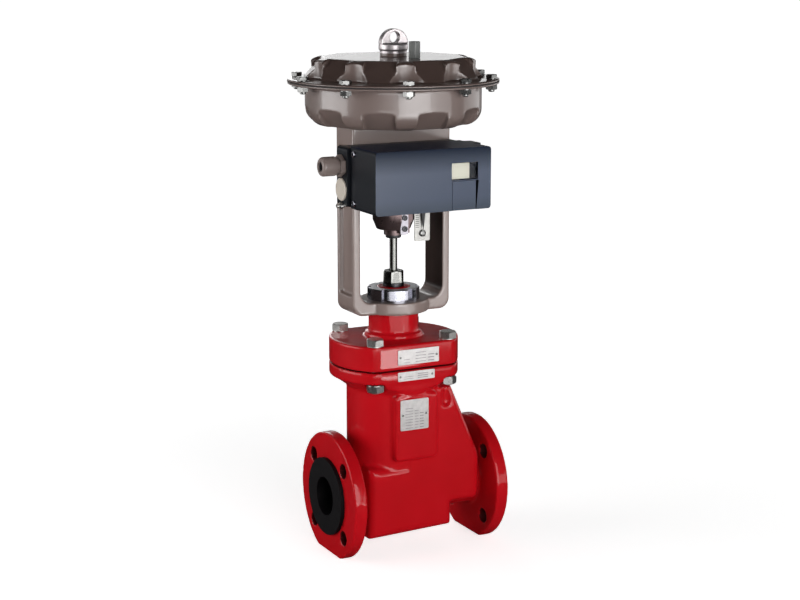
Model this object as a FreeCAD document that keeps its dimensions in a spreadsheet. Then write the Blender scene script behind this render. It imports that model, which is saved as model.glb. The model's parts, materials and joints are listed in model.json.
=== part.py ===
import FreeCAD, Part
import math
import os
import re
import Sketcher
from FreeCAD import Placement, Rotation, Vector

# A bellows sealed control valve of nominal size 50 with a spring diaphragm actuator and a positioner.
# The frame: origin on the stem axis, on the plane that the flange flats stand on, +X towards the
# outlet, +Y to the back, +Z up the stem. All sizes are in millimetres, angles in degrees.

doc = FreeCAD.newDocument("bellows_sealed_control_valve")
sheet = doc.addObject("Spreadsheet::Sheet", "sizes")

SIZES = {
    # Flanges and flow path
    "axis_height": 75.0,
    "flange_diameter": 165.0,
    "flange_thickness": 17.5,
    "bolt_circle": 125.0,
    "inlet_flange_hole": 18.0,
    "outlet_flange_hole": 18.4,
    "drill_overrun": 2.0,
    "inlet_reach": 99.0,
    "outlet_reach": 131.0,
    "liner_proud": 5.0,
    "liner_face": 100.0,
    "bore": 50.0,
    "liner_wall": 4.0,
    "mouth_length": 26.0,
    "duct_bore": 40.0,
    "throat_bore": 32.0,
    "chamber_bore": 72.0,
    "seat_level": 92.0,
    "sump_level": 40.0,
    "inlet_drop": 17.0,
    "outlet_lift": 50.0,
    # Body casting
    "tower_width": 122.0,
    "tower_depth": 98.0,
    "tower_corner": 46.0,
    "neck_diameter": 70.0,
    "shoulder_depth": 100.0,
    "shoulder_top_reach": 54.0,
    "shoulder_reach": 102.0,
    "shoulder_level": 118.0,
    "shoulder_bottom": 57.0,
    "shoulder_round": 28.0,
    "shoulder_edge": 10.0,
    "pedestal_left": 57.0,
    "pedestal_right": 61.0,
    "pedestal_depth": 100.0,
    "pedestal_bottom": 23.0,
    "pedestal_rise": 4.0,
    "pedestal_top": 116.0,
    "pedestal_corner": 10.0,
    "plate_boss_left": 26.0,
    "plate_boss_right": 34.0,
    "plate_boss_bottom": 126.0,
    "plate_boss_top": 212.0,
    "plate_boss_front": 60.0,
    "plate_boss_corner": 5.0,
    # Body and bonnet flanges
    "lid_diameter": 166.0,
    "lid_depth": 124.0,
    "lid_corner": 15.0,
    "body_flange_bottom": 229.0,
    "body_flange_thickness": 16.5,
    "body_flange_flare": 22.0,
    "joint_gap": 0.5,
    "bonnet_thickness": 32.0,
    "lid_bolt_circle": 145.6,
    "lid_bolt_angle": 45.0,
    "lid_bolt": 12.0,
    "lid_bolt_hole": 13.5,
    "lid_bolt_head": 20.0,
    "lid_bolt_head_height": 9.5,
    "lid_nut_height": 10.0,
    "lid_bolt_end": 2.0,
    "nut_seat_margin": 2.5,
    "nut_seat_depth": 16.0,
    # Bonnet neck, guide and packing
    "bead_diameter": 74.0,
    "bead_height": 5.0,
    "neck_outer": 64.0,
    "neck_height": 33.0,
    "spigot_diameter": 43.6,
    "spigot_height": 31.0,
    "packing_bore": 22.0,
    "packing_depth": 40.0,
    "guide_outer": 18.0,
    "guide_length": 36.0,
    "packing_ring_height": 6.0,
    "packing_ring_gap": 0.4,
    "packing_ring_count": 3,
    "gland_nut_width": 24.0,
    "gland_nut_height": 20.0,
    "gland_skirt": 27.6,
    "gland_skirt_height": 7.0,
    # Stem, plug and bellows
    "stem_diameter": 10.0,
    "stem_root": 16.0,
    "stem_root_top": 238.0,
    "stem_top": 414.0,
    "stem_slack": 0.05,
    "travel": 15.0,
    "seat_outer": 52.0,
    "seat_height": 5.0,
    "plug_diameter": 48.0,
    "plug_height": 7.0,
    "plug_hub_height": 8.0,
    "plug_tip": 12.0,
    "plug_reach": 20.0,
    "plug_slack": 0.6,
    "bellows_outer": 60.0,
    "bellows_inner": 42.0,
    "bellows_wall": 1.2,
    "bellows_folds": 10,
    "bellows_collar": 100.0,
    "bellows_collar_height": 4.0,
    # Yoke and ring nut
    "yoke_width": 136.0,
    "yoke_depth": 50.0,
    "column_thickness": 10.0,
    "yoke_base": 15.5,
    "yoke_top": 550.0,
    "yoke_crossbar": 28.0,
    "yoke_corner": 14.0,
    "yoke_window_corner": 16.0,
    "collar_diameter": 90.0,
    "rib_pocket": 6.0,
    "ring_nut_diameter": 66.8,
    "ring_nut_height": 15.0,
    "ring_nut_slots": 6,
    "ring_nut_turn": 43.0,
    "ring_nut_slot_width": 7.0,
    "ring_nut_slot_depth": 4.0,
    # Actuator
    "rim_width": 22.0,
    "rim_thickness": 3.0,
    "diaphragm_thickness": 1.0,
    "rim_level": 603.4,
    "case_diameter": 222.0,
    "case_top": 633.5,
    "case_corner": 20.0,
    "cavity_inset": 20.0,
    "cavity_corner": 14.0,
    "case_wall": 5.0,
    "facet_depth": 8.0,
    "facet_width": 40.0,
    "facet_length": 40.0,
    "scoop_width": 52.0,
    "scoop_top_width": 44.0,
    "case_screw_count": 10,
    "case_screw_inset": 9.4,
    "case_screw": 8.0,
    "case_screw_hole": 9.0,
    "case_screw_width": 13.0,
    "case_head_height": 5.3,
    "case_nut_height": 6.5,
    "case_screw_end": 3.0,
    "hub_diameter": 44.0,
    "hub_height": 14.0,
    "actuator_stem": 16.0,
    "actuator_bush": 24.0,
    "seal_height": 4.0,
    "plate_inset": 8.0,
    "plate_rim_height": 9.0,
    "plate_rim_thickness": 3.0,
    "plate_thickness": 4.0,
    "plate_level": 566.0,
    "plate_nut_width": 24.0,
    "plate_nut_height": 8.0,
    "spring_count": 4,
    "spring_circle": 104.0,
    "spring_diameter": 34.0,
    "spring_wire": 4.5,
    "spring_slack": 0.1,
    "spring_pitch": 13.0,
    # Lifting eye and vent
    "eye_collar": 34.0,
    "eye_collar_height": 8.5,
    "eye_ring": 37.0,
    "eye_ring_height": 7.5,
    "eye_thickness": 10.0,
    "eye_hole": 14.0,
    "eye_hole_lift": 8.0,
    "eye_stud": 12.0,
    "vent_diameter": 15.5,
    "vent_height": 21.0,
    "vent_thread": 10.0,
    "vent_back": -48.0,
    "vent_side": 5.0,
    # Stem coupling, pick-up and travel scale
    "lock_nut": 20.0,
    "lock_nut_bottom": 404.2,
    "lock_nut_height": 4.3,
    "coupling_waist": 24.5,
    "coupling_waist_height": 7.5,
    "coupling_shoulder": 43.0,
    "coupling_bell": 53.0,
    "coupling_flare": 12.5,
    "coupling_bell_height": 12.0,
    "coupling_neck": 24.0,
    "coupling_top": 449.0,
    "lug_left": -1.0,
    "lug_right": 13.0,
    "lug_front": -20.0,
    "lug_bottom": 412.0,
    "lug_top": 438.0,
    "strip_thickness": 2.0,
    "strip_left": -0.8,
    "strip_width": 11.0,
    "strip_bottom": 410.5,
    "slot_length": 9.0,
    "slot_slack": 0.15,
    "carrier_height": 16.0,
    "carrier_left": -14.0,
    "strip_screw_head": 7.0,
    "strip_screw_head_height": 2.4,
    "scale_left": 21.0,
    "scale_right": 43.0,
    "scale_bottom": 400.0,
    "scale_top": 452.0,
    "scale_thickness": 1.5,
    "scale_screw_head": 9.0,
    "pointer_length": 28.0,
    "pointer_width": 7.0,
    # Positioner
    "housing_left": -90.0,
    "housing_right": 66.0,
    "housing_bottom": 455.5,
    "housing_height": 76.0,
    "housing_back": -30.0,
    "base_depth": 30.0,
    "cover_front": -133.0,
    "cover_wall": 4.0,
    "front_wall": 16.0,
    "housing_corner": 4.0,
    "base_overhang": 2.5,
    "window_left": 12.0,
    "window_width": 36.0,
    "window_bottom": 492.5,
    "window_height": 21.0,
    "window_depth": 6.0,
    "pane_thickness": 1.5,
    "display_width": 25.0,
    "display_thickness": 2.0,
    "flap_left": 13.0,
    "flap_width": 32.0,
    "flap_height": 35.5,
    "flap_thickness": 2.5,
    "flap_gap": 0.5,
    "flap_pin": 2.0,
    "key_diameter": 7.0,
    "key_spacing": 9.5,
    "key_level": 474.0,
    "key_proud": 3.0,
    "key_length": 9.0,
    "cover_screw_head": 7.0,
    "cover_screw_height": 2.5,
    "cover_screw_setback": 15.0,
    "groove_width": 9.0,
    "groove_depth": 2.0,
    "flap_wedge": 3.5,
    # Feedback lever
    "lever_pivot_side": 45.0,
    "lever_pivot_level": 485.0,
    "lever_length": 50.0,
    "lever_width": 9.0,
    "lever_thickness": 2.0,
    "lever_hub": 16.0,
    "shaft_diameter": 8.0,
    "shaft_slack": 0.05,
    "lever_plane": -27.6,
    "roller_diameter": 5.0,
    # Cable entry and air ports
    "entry_depth": -44.0,
    "gland_level": 506.6,
    "gland_hex": 24.0,
    "gland_hex_length": 6.0,
    "gland_neck": 19.0,
    "gland_neck_length": 4.0,
    "gland_cap": 24.0,
    "gland_cap_length": 19.0,
    "gland_thread": 16.0,
    "cable_bore": 9.0,
    "plug_level": 477.5,
    "blind_plug": 28.0,
    "blind_plug_length": 2.5,
    "earth_level": 457.5,
    "earth_screw": 5.0,
    "earth_head": 9.0,
    "block_width": 25.0,
    "block_depth": 27.0,
    "block_height": 66.0,
    "air_port": 11.8,
    "air_port_depth": 14.0,
    "air_port_spacing": 32.0,
    # Plates and rivets
    "name_plate": 40.0,
    "name_plate_left": -20.5,
    "name_plate_bottom": 166.0,
    "tag_left": -25.0,
    "upper_tag_width": 58.0,
    "upper_tag_height": 19.5,
    "lower_tag_width": 52.0,
    "lower_tag_height": 12.0,
    "plate_sheet": 0.8,
    "rivet_diameter": 3.0,
    "rivet_height": 0.9,
    "rivet_inset": 3.5,
}
for row, (name, value) in enumerate(SIZES.items(), start=1):
    sheet.set(f"A{row}", name)
    sheet.set(f"B{row}", str(value))
    sheet.setAlias(f"B{row}", name)
doc.recompute()


def bound(expression):
    """The expression with each named size pointed at the sheet."""
    return re.sub(r"[a-z_]+", lambda word: f"sizes.{word[0]}" if word[0] in SIZES else word[0], str(expression))


def size(expression):
    """The present value of an expression in named sizes."""
    return float(sheet.evalExpression(str(expression)))


TURNS = {
    "up": Rotation(),
    "right": Rotation(Vector(0, 1, 0), 90),
    "left": Rotation(Vector(0, 1, 0), -90),
    "front": Rotation(Vector(1, 0, 0), 90),
    "back": Rotation(Vector(1, 0, 0), -90),
}


def place(piece, x="0", y="0", z="0", along="up"):
    """Put a piece at a bound place, with its own axis along one of the named directions."""
    piece.Placement = Placement(Vector(), TURNS[along])
    for axis, expression in zip("xyz", (x, y, z)):
        piece.setExpression(f"Placement.Base.{axis}", bound(expression))
    return piece


def cylinder(name, diameter, length, x="0", y="0", z="0", along="up"):
    piece = doc.addObject("Part::Cylinder", name)
    piece.setExpression("Radius", bound(f"({diameter}) / 2"))
    piece.setExpression("Height", bound(length))
    return place(piece, x, y, z, along)


def cone(name, start, end, length, x="0", y="0", z="0", along="up"):
    piece = doc.addObject("Part::Cone", name)
    piece.setExpression("Radius1", bound(f"({start}) / 2"))
    piece.setExpression("Radius2", bound(f"({end}) / 2"))
    piece.setExpression("Height", bound(length))
    return place(piece, x, y, z, along)


def box(name, low, high):
    """A block between two corners, given as expressions."""
    piece = doc.addObject("Part::Box", name)
    for side, near, far in zip(("Length", "Width", "Height"), low, high):
        piece.setExpression(side, bound(f"({far}) - ({near})"))
    return place(piece, *low)


def hexagon(name, width, length, x="0", y="0", z="0", along="up"):
    """A hexagonal bar, width across its flats."""
    piece = doc.addObject("Part::Prism", name)
    piece.Polygon = 6
    piece.setExpression("Circumradius", bound(f"({width}) / 2 / cos(30)"))
    piece.setExpression("Height", bound(length))
    return place(piece, x, y, z, along)


def joined(name, *pieces):
    piece = doc.addObject("Part::MultiFuse", name)
    piece.Shapes = list(pieces)
    piece.Refine = True
    return piece


def cut(name, base, *tools):
    piece = doc.addObject("Part::Cut", name)
    piece.Base = base
    piece.Tool = tools[0] if len(tools) == 1 else joined(name + "_tools", *tools)
    return piece


def common(name, *pieces):
    piece = doc.addObject("Part::MultiCommon", name)
    piece.Shapes = list(pieces)
    return piece


def group(name, pieces):
    """Separate solids kept together as one node."""
    piece = doc.addObject("Part::Compound", name)
    piece.Links = list(pieces)
    return piece


def new_body(name):
    body = doc.addObject("PartDesign::Body", name)
    body.AllowCompound = True
    return body


def origin_of(body, role):
    return next(part for part in body.Origin.OriginFeatures if part.Role == role)


def outline(body, role, corners, offset="0"):
    """A closed sketch on one of the body's own planes.

    Each corner is (across, up) or (across, up, rounding), as expressions.
    """
    sketch = body.newObject("Sketcher::SketchObject", body.Name + "_outline")
    sketch.AttachmentSupport = [(origin_of(body, role), "")]
    sketch.MapMode = "FlatFace"
    sketch.setExpression("AttachmentOffset.Base.z", bound(offset))
    places = [Vector(size(corner[0]), size(corner[1]), 0) for corner in corners]
    arrive, leave, bend = [], [], []
    for index, corner in enumerate(corners):
        here = places[index]
        into = (here - places[index - 1]).normalize()
        out = (places[(index + 1) % len(places)] - here).normalize()
        radius = size(corner[2]) if len(corner) == 3 else 0.0
        trim = radius * math.tan(into.getAngle(out) / 2)
        arrive.append(here - into * trim)
        leave.append(here + out * trim)
        bend.append(into.cross(out).z)
    for index in range(len(corners)):
        end = (index + 1) % len(corners)
        sketch.addGeometry(Part.LineSegment(leave[index], arrive[end]), False)

    def fix(kind, *where, expression):
        number = sketch.addConstraint(Sketcher.Constraint(kind, *where, size(expression)))
        sketch.setExpression(f"Constraints[{number}]", bound(expression))

    for index, corner in enumerate(corners):
        before = (index - 1) % len(corners)
        if len(corner) == 2:
            sketch.addConstraint(Sketcher.Constraint("Coincident", before, 2, index, 1))
            fix("DistanceX", -1, 1, index, 1, expression=corner[0])
            fix("DistanceY", -1, 1, index, 1, expression=corner[1])
            continue
        left_turn = bend[index] > 0
        into = (places[index] - places[before]).normalize()
        side = Vector(-into.y, into.x, 0) * (1 if left_turn else -1)
        middle = arrive[index] + side * size(corner[2])
        first, last = (arrive, leave) if left_turn else (leave, arrive)
        start = math.atan2(first[index].y - middle.y, first[index].x - middle.x)
        stop = math.atan2(last[index].y - middle.y, last[index].x - middle.x)
        circle = Part.Circle(middle, Vector(0, 0, 1), size(corner[2]))
        arc = sketch.addGeometry(Part.ArcOfCircle(circle, start, stop), False)
        point = sketch.addGeometry(Part.Point(places[index]), True)
        near, far = (1, 2) if left_turn else (2, 1)
        sketch.addConstraint(Sketcher.Constraint("Tangent", before, 2, arc, near))
        sketch.addConstraint(Sketcher.Constraint("Tangent", arc, far, index, 1))
        sketch.addConstraint(Sketcher.Constraint("PointOnObject", point, 1, before))
        sketch.addConstraint(Sketcher.Constraint("PointOnObject", point, 1, index))
        fix("Radius", arc, expression=corner[2])
        fix("DistanceX", -1, 1, point, 1, expression=corner[0])
        fix("DistanceY", -1, 1, point, 1, expression=corner[1])
    return sketch


def turned(name, corners, x="0", y="0", z="0", along="up"):
    """A turned piece: a half section of (radius, height) corners spun about its own axis."""
    body = new_body(name)
    sketch = outline(body, "XZ_Plane", corners)
    spin = body.newObject("PartDesign::Revolution", name + "_spin")
    spin.Profile = sketch
    spin.ReferenceAxis = (sketch, ["V_Axis"])
    spin.Angle = 360
    return place(body, x, y, z, along)


def slab(name, role, corners, thickness, offset="0"):
    """A flat piece: an outline on the body's own plane, thickened along that plane's normal.

    From XZ_Plane it grows to the front, from the plane y = -offset.
    """
    body = new_body(name)
    pad = body.newObject("PartDesign::Pad", name + "_pad")
    pad.Profile = outline(body, role, corners, offset)
    pad.setExpression("Length", bound(thickness))
    return body


def rectangle(left, right, low, high, rounding=None):
    corners = [(left, low), (right, low), (right, high), (left, high)]
    return [corner + (rounding,) for corner in corners] if rounding else corners


def ring_of(name, circle, count, start_angle, parts):
    """Identical fasteners on a circle about the stem axis.

    Each part is (kind, diameter or width across flats, bottom, top), stacked to make one fastener.
    """
    body = new_body(name)
    features = []
    for number, (kind, across, bottom, top) in enumerate(parts):
        feature = body.newObject("PartDesign::Additive" + kind, f"{name}_{number}")
        feature.AttachmentSupport = [(origin_of(body, "XY_Plane"), "")]
        feature.MapMode = "FlatFace"
        feature.setExpression("AttachmentOffset.Base.x", bound(f"({circle}) / 2"))
        feature.setExpression("AttachmentOffset.Base.z", bound(bottom))
        feature.setExpression("Height", bound(f"({top}) - ({bottom})"))
        if kind == "Prism":
            feature.Polygon = 6
            feature.setExpression("Circumradius", bound(f"({across}) / 2 / cos(30)"))
        else:
            feature.setExpression("Radius", bound(f"({across}) / 2"))
        features.append(feature)
    doc.recompute()
    pattern = body.newObject("PartDesign::PolarPattern", name + "_ring")
    pattern.Originals = features
    pattern.Axis = (origin_of(body, "Z_Axis"), [""])
    pattern.Angle = 360
    pattern.setExpression("Occurrences", bound(count))
    body.Tip = pattern
    body.Placement = Placement(Vector(), Rotation(Vector(0, 0, 1), 1))
    body.setExpression("Placement.Rotation.Angle", bound(start_angle))
    return body


nodes = []


def keep(piece):
    """Hand a finished piece in as a node of its own."""
    piece.Label = piece.Name
    nodes.append(piece)
    return piece


# Levels that several pieces share, as expressions in the named sizes.
BODY_FACE = "body_flange_bottom + body_flange_thickness"
BONNET_FACE = f"{BODY_FACE} + joint_gap"
BONNET_TOP = f"{BONNET_FACE} + bonnet_thickness"
YOKE_SEAT = f"{BONNET_TOP} + neck_height"
YOKE_FLOOR = f"{YOKE_SEAT} + yoke_base"
SPIGOT_TOP = f"{YOKE_SEAT} + spigot_height"
SEAT_FLOOR = "seat_level + liner_wall"
SEAT_FACE = f"{SEAT_FLOOR} + seat_height"
PLUG_TOP = f"{SEAT_FACE} + plug_height"
HUB_TOP = f"{PLUG_TOP} + plug_hub_height"
COLLAR_BOTTOM = f"{BODY_FACE} - bellows_collar_height"
PACKING_FLOOR = f"{SPIGOT_TOP} - packing_depth"
RIM_SIDE = "case_diameter / 2 + rim_width"
CASE_SCREW_CIRCLE = f"2 * ({RIM_SIDE} - case_screw_inset)"
CAVITY_SIDE = "case_diameter / 2 - cavity_inset"
PLATE_SIDE = f"{CAVITY_SIDE} - plate_inset"
UPPER_RIM = "rim_level + diaphragm_thickness"
RIM_TOP = f"{UPPER_RIM} + rim_thickness"
RIM_BOTTOM = "rim_level - rim_thickness"
CAVITY_TOP = "case_top - case_wall"
CAVITY_FLOOR = "yoke_top + case_wall"
PLATE_TOP = "plate_level + plate_thickness"

# Straight lengths in one turn of a spring
SPRING_STEPS = 12


def duct(name, extra):
    """The flow path as a solid, grown outwards by extra: under the seat, through it and out above."""
    mouth = f"bore + 2 * ({extra})"
    run = f"duct_bore + 2 * ({extra})"
    inlet_end = "-(inlet_reach - mouth_length)"
    outlet_end = "outlet_reach - mouth_length"
    inlet_run = "sqrt(pow(inlet_reach - mouth_length; 2) + pow(inlet_drop; 2))"
    outlet_side = "outlet_reach - mouth_length"
    outlet_run = f"sqrt(pow({outlet_side}; 2) + pow(outlet_lift; 2))"
    inlet = cylinder(name + "_inlet", mouth, f"mouth_length + {extra}", "-inlet_reach", "0", "axis_height", "right")
    outlet = cylinder(name + "_outlet", mouth, f"mouth_length + {extra}", f"{outlet_end} - {extra}", "0", "axis_height",
                      "right")
    falling = cylinder(name + "_falling", run, inlet_run, inlet_end, "0", "axis_height", "right")
    falling.setExpression("Placement.Rotation.Angle",
                          bound("90 deg + atan(inlet_drop / (inlet_reach - mouth_length))"))
    rising = cylinder(name + "_rising", run, outlet_run, outlet_end, "0", "axis_height", "left")
    rising.Placement.Rotation = Rotation(Vector(0, -1, 0), 60)
    rising.setExpression("Placement.Rotation.Angle", bound(f"90 deg - atan(outlet_lift / ({outlet_side}))"))
    bend = doc.addObject("Part::Sphere", name + "_inlet_bend")
    bend.setExpression("Radius", bound(f"({run}) / 2"))
    place(bend, inlet_end, "0", "axis_height")
    far_bend = doc.addObject("Part::Sphere", name + "_outlet_bend")
    far_bend.setExpression("Radius", bound(f"({run}) / 2"))
    place(far_bend, outlet_end, "0", "axis_height")
    sump = cylinder(name + "_sump", f"throat_bore + 2 * ({extra})", "seat_level + liner_wall - sump_level",
                    z=f"sump_level - ({extra})")
    chamber = cylinder(name + "_chamber", f"chamber_bore + 2 * ({extra})",
                       f"{COLLAR_BOTTOM} - ({SEAT_FLOOR}) + ({extra})", z=f"{SEAT_FLOOR} - ({extra})")
    return joined(name, inlet, outlet, falling, rising, bend, far_bend, sump, chamber)


def lid_blank(name, bottom, top):
    """The flange outline that the body and the bonnet share: a disc with flat front and back, corners rounded."""
    disc = cylinder(name + "_disc", "lid_diameter", f"({top}) - ({bottom})", z=bottom)
    half = "lid_depth / 2"
    flats = box(name + "_flats", ("-lid_diameter", f"-({half})", bottom), ("lid_diameter", half, top))
    blank = common(name + "_blank", disc, flats)
    doc.recompute()
    rounded = doc.addObject("Part::Fillet", name)
    rounded.Base = blank
    radius = size("lid_corner")
    rounded.Edges = [(number, radius, radius) for number, edge in enumerate(blank.Shape.Edges, start=1)
                     if edge.BoundBox.ZLength > 1 and abs(edge.CenterOfMass.y) > 1]
    return rounded


def pipe_flange(name, outer_face, inner_face):
    """A pipe flange as a plain disc between its two faces."""
    return cylinder(name, "flange_diameter", f"{inner_face} - ({outer_face})", outer_face, "0", "axis_height",
                    "right")


def flange_drills(side, start):
    """Bolt holes through one pipe flange, off the centre lines."""
    drills = []
    reach = "bolt_circle / 2 * cos(45)"
    for number, (across, up) in enumerate(((1, 1), (-1, 1), (-1, -1), (1, -1))):
        place_terms = (start, f"{across} * {reach}", f"axis_height + {up} * {reach}")
        drills.append(cylinder(f"{side}_drill_{number}", f"{side}_flange_hole",
                               "flange_thickness + 2 * drill_overrun", *place_terms, "right"))
    return drills


def valve_body():
    tower = slab("tower", "XY_Plane", rectangle("-tower_width / 2", "tower_width / 2", "-tower_depth / 2",
                                                "tower_depth / 2", "tower_corner"),
                 f"{BODY_FACE} - axis_height", "axis_height")
    flare = cone("flange_flare", "tower_depth", "lid_diameter - 6", "body_flange_flare",
                 z="body_flange_bottom - body_flange_flare")
    flare_flats = box("flare_flats", ("-lid_diameter", "-lid_depth / 2 + 1", "body_flange_bottom - body_flange_flare"),
                      ("lid_diameter", "lid_depth / 2 - 1", "body_flange_bottom"))
    top_flange = lid_blank("body_top_flange", "body_flange_bottom", BODY_FACE)
    pedestal = slab("pedestal", "XZ_Plane", [
        ("-pedestal_left", "pedestal_bottom"), ("pedestal_right", "pedestal_bottom + pedestal_rise"),
        ("pedestal_right", "pedestal_top"), ("-pedestal_left", "pedestal_top")],
        "pedestal_depth", "-pedestal_depth / 2")
    doc.recompute()
    rounded = doc.addObject("Part::Fillet", "pedestal_rounded")
    rounded.Base = pedestal
    radius = size("pedestal_corner")
    rounded.Edges = [(number, radius, radius) for number, edge in enumerate(pedestal.Shape.Edges, start=1)
                     if edge.BoundBox.YLength < 0.1]
    inlet_neck = cylinder("inlet_neck", "neck_diameter", "inlet_reach - liner_proud", "-(inlet_reach - liner_proud)",
                          "0", "axis_height", "right")
    outlet_neck = cylinder("outlet_neck", "neck_diameter", "outlet_reach - liner_proud", "0", "0", "axis_height",
                           "right")
    inlet_flange = pipe_flange("inlet_flange", "-(inlet_reach - liner_proud)",
                               "-(inlet_reach - liner_proud - flange_thickness)")
    outlet_flange = pipe_flange("outlet_flange", "outlet_reach - liner_proud - flange_thickness",
                                "(outlet_reach - liner_proud)")
    boss = slab("plate_boss", "XZ_Plane",
                rectangle("-plate_boss_left", "plate_boss_right", "plate_boss_bottom", "plate_boss_top",
                          "plate_boss_corner"), "plate_boss_front - tower_depth / 4", "tower_depth / 4")
    casting = joined("body_casting", tower, common("flare_trimmed", flare, flare_flats), top_flange, rounded,
                     inlet_neck, outlet_neck, inlet_flange, outlet_flange, boss, shoulder())
    foot = box("foot_cut", ("-inlet_reach - 20", "-flange_diameter", "-flange_diameter"),
               ("outlet_reach + 20", "flange_diameter", "0"))
    bolt_holes = ring_of("body_bolt_holes", "lid_bolt_circle", "4", "lid_bolt_angle",
                         [("Cylinder", "lid_bolt_hole", "body_flange_bottom - 40", f"{BODY_FACE} + 5")])
    nut_seats = ring_of("nut_seats", "lid_bolt_circle", "4", "lid_bolt_angle",
                        [("Cylinder", "lid_bolt_head / cos(30) + nut_seat_margin", "body_flange_bottom - nut_seat_depth",
                          "body_flange_bottom")])
    recess = cylinder("collar_recess", "bellows_collar", "bellows_collar_height + liner_wall + 5",
                      z=f"{COLLAR_BOTTOM} - liner_wall")
    return keep(cut("valve_body", casting, foot, bolt_holes, nut_seats, recess, duct("lining_space", "liner_wall"),
                    *flange_drills("inlet", "-(inlet_reach - liner_proud) - drill_overrun"),
                    *flange_drills("outlet", "outlet_reach - liner_proud - flange_thickness - drill_overrun")))


def shoulder():
    """The deep shoulder that falls from the tower's side to a rounded end over the outlet neck."""
    block = slab("shoulder_block", "XZ_Plane", [
        ("0", "shoulder_bottom"), ("shoulder_reach", "shoulder_bottom", "shoulder_edge"),
        ("shoulder_reach", "shoulder_level", "shoulder_round"), ("shoulder_top_reach", "body_flange_bottom"),
        ("0", "body_flange_bottom")], "shoulder_depth", "-shoulder_depth / 2")
    doc.recompute()
    eased = doc.addObject("Part::Fillet", "shoulder")
    eased.Base = block
    radius = size("shoulder_edge")
    eased.Edges = [(number, radius, radius) for number, edge in enumerate(block.Shape.Edges, start=1)
                   if edge.BoundBox.YLength < 0.1 and edge.CenterOfMass.x > size("shoulder_top_reach")]
    return eased


def body_liner():
    skin = duct("liner_skin", "liner_wall")
    inlet_face = cylinder("inlet_liner_face", "liner_face", "liner_proud", "-inlet_reach", "0", "axis_height", "right")
    outlet_face = cylinder("outlet_liner_face", "liner_face", "liner_proud", "outlet_reach - liner_proud", "0",
                           "axis_height", "right")
    lip = cylinder("liner_lip", "bellows_collar", "liner_wall", z=f"{COLLAR_BOTTOM} - liner_wall")
    inside = duct("liner_inside", "0")
    way_out = cylinder("liner_top_opening", "chamber_bore", "liner_wall + 10", z=f"{COLLAR_BOTTOM} - liner_wall")
    return keep(cut("body_liner", joined("liner_solid", skin, inlet_face, outlet_face, lip), inside, way_out))


def seat_and_plug():
    keep(turned("seat_ring", [
        ("throat_bore / 2", SEAT_FLOOR), ("seat_outer / 2", SEAT_FLOOR), ("seat_outer / 2", SEAT_FACE),
        ("throat_bore / 2 + 3", SEAT_FACE), ("throat_bore / 2", f"{SEAT_FACE} - 3")]))
    nose = "throat_bore / 2 - plug_slack"
    keep(turned("valve_plug", [
        ("0", f"{SEAT_FACE} - plug_reach"), ("plug_tip / 2", f"{SEAT_FACE} - plug_reach"),
        (nose, f"{SEAT_FACE} - 6"), (nose, SEAT_FACE), ("plug_diameter / 2", SEAT_FACE),
        ("plug_diameter / 2", f"{PLUG_TOP} - 2"), ("plug_diameter / 2 - 2", PLUG_TOP),
        ("bellows_inner / 2", PLUG_TOP),
        ("bellows_inner / 2", HUB_TOP), ("stem_root / 2", HUB_TOP), ("stem_root / 2", PLUG_TOP), ("0", PLUG_TOP)]))


def bellows():
    """Thin folds between the collar under the bonnet and the hub of the plug."""
    folds = int(size("bellows_folds"))
    outer, inner = [], []
    bottom, top = f"({HUB_TOP})", f"({COLLAR_BOTTOM})"
    for fold in range(folds):
        for share, wide in ((0.0, False), (0.5, True)):
            level = f"{bottom} + ({top} - {bottom}) * {(fold + share) / folds}"
            radius = "bellows_outer / 2" if wide else "bellows_inner / 2"
            outer.append((radius, level))
            inner.append((f"{radius} - bellows_wall", level))
    outer.append(("bellows_inner / 2", top))
    inner.append(("bellows_inner / 2 - bellows_wall", top))
    return keep(turned("bellows", outer + inner[::-1]))


def bellows_collar():
    keep(turned("bellows_collar", [
        ("bellows_inner / 2 - bellows_wall", COLLAR_BOTTOM), ("bellows_collar / 2", COLLAR_BOTTOM),
        ("bellows_collar / 2", BONNET_FACE), ("bellows_inner / 2 - bellows_wall", BONNET_FACE)]))


def valve_stem():
    keep(turned("valve_stem", [
        ("0", PLUG_TOP), ("stem_root / 2", PLUG_TOP), ("stem_root / 2", "stem_root_top"),
        ("stem_diameter / 2", "stem_root_top + 3"), ("stem_diameter / 2", "stem_top"), ("0", "stem_top")]))


def bonnet():
    blank = lid_blank("bonnet_flange", BONNET_FACE, BONNET_TOP)
    neck = turned("bonnet_neck", [
        ("0", BONNET_FACE), ("bead_diameter / 2", BONNET_FACE), ("bead_diameter / 2", f"{BONNET_TOP} + bead_height", "2"),
        ("neck_outer / 2", f"{BONNET_TOP} + bead_height + 2"), ("neck_outer / 2", YOKE_SEAT),
        ("spigot_diameter / 2", YOKE_SEAT), ("spigot_diameter / 2", f"{SPIGOT_TOP} - 1"),
        ("spigot_diameter / 2 - 1", SPIGOT_TOP), ("0", SPIGOT_TOP)])
    bore = turned("bonnet_bore", [
        ("0", f"{BONNET_FACE} - 5"), ("guide_outer / 2 + 4", f"{BONNET_FACE} - 5"),
        ("guide_outer / 2 + 4", f"{PACKING_FLOOR} - guide_length - 4"),
        ("guide_outer / 2", f"{PACKING_FLOOR} - guide_length"), ("guide_outer / 2", PACKING_FLOOR),
        ("packing_bore / 2", PACKING_FLOOR), ("packing_bore / 2", f"{SPIGOT_TOP} + 5"), ("0", f"{SPIGOT_TOP} + 5")])
    bolt_holes = ring_of("bonnet_bolt_holes", "lid_bolt_circle", "4", "lid_bolt_angle",
                         [("Cylinder", "lid_bolt_hole", f"{BONNET_FACE} - 5", f"{BONNET_TOP} + 15")])
    return keep(cut("bonnet", joined("bonnet_blank", blank, neck), bore, bolt_holes))


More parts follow.
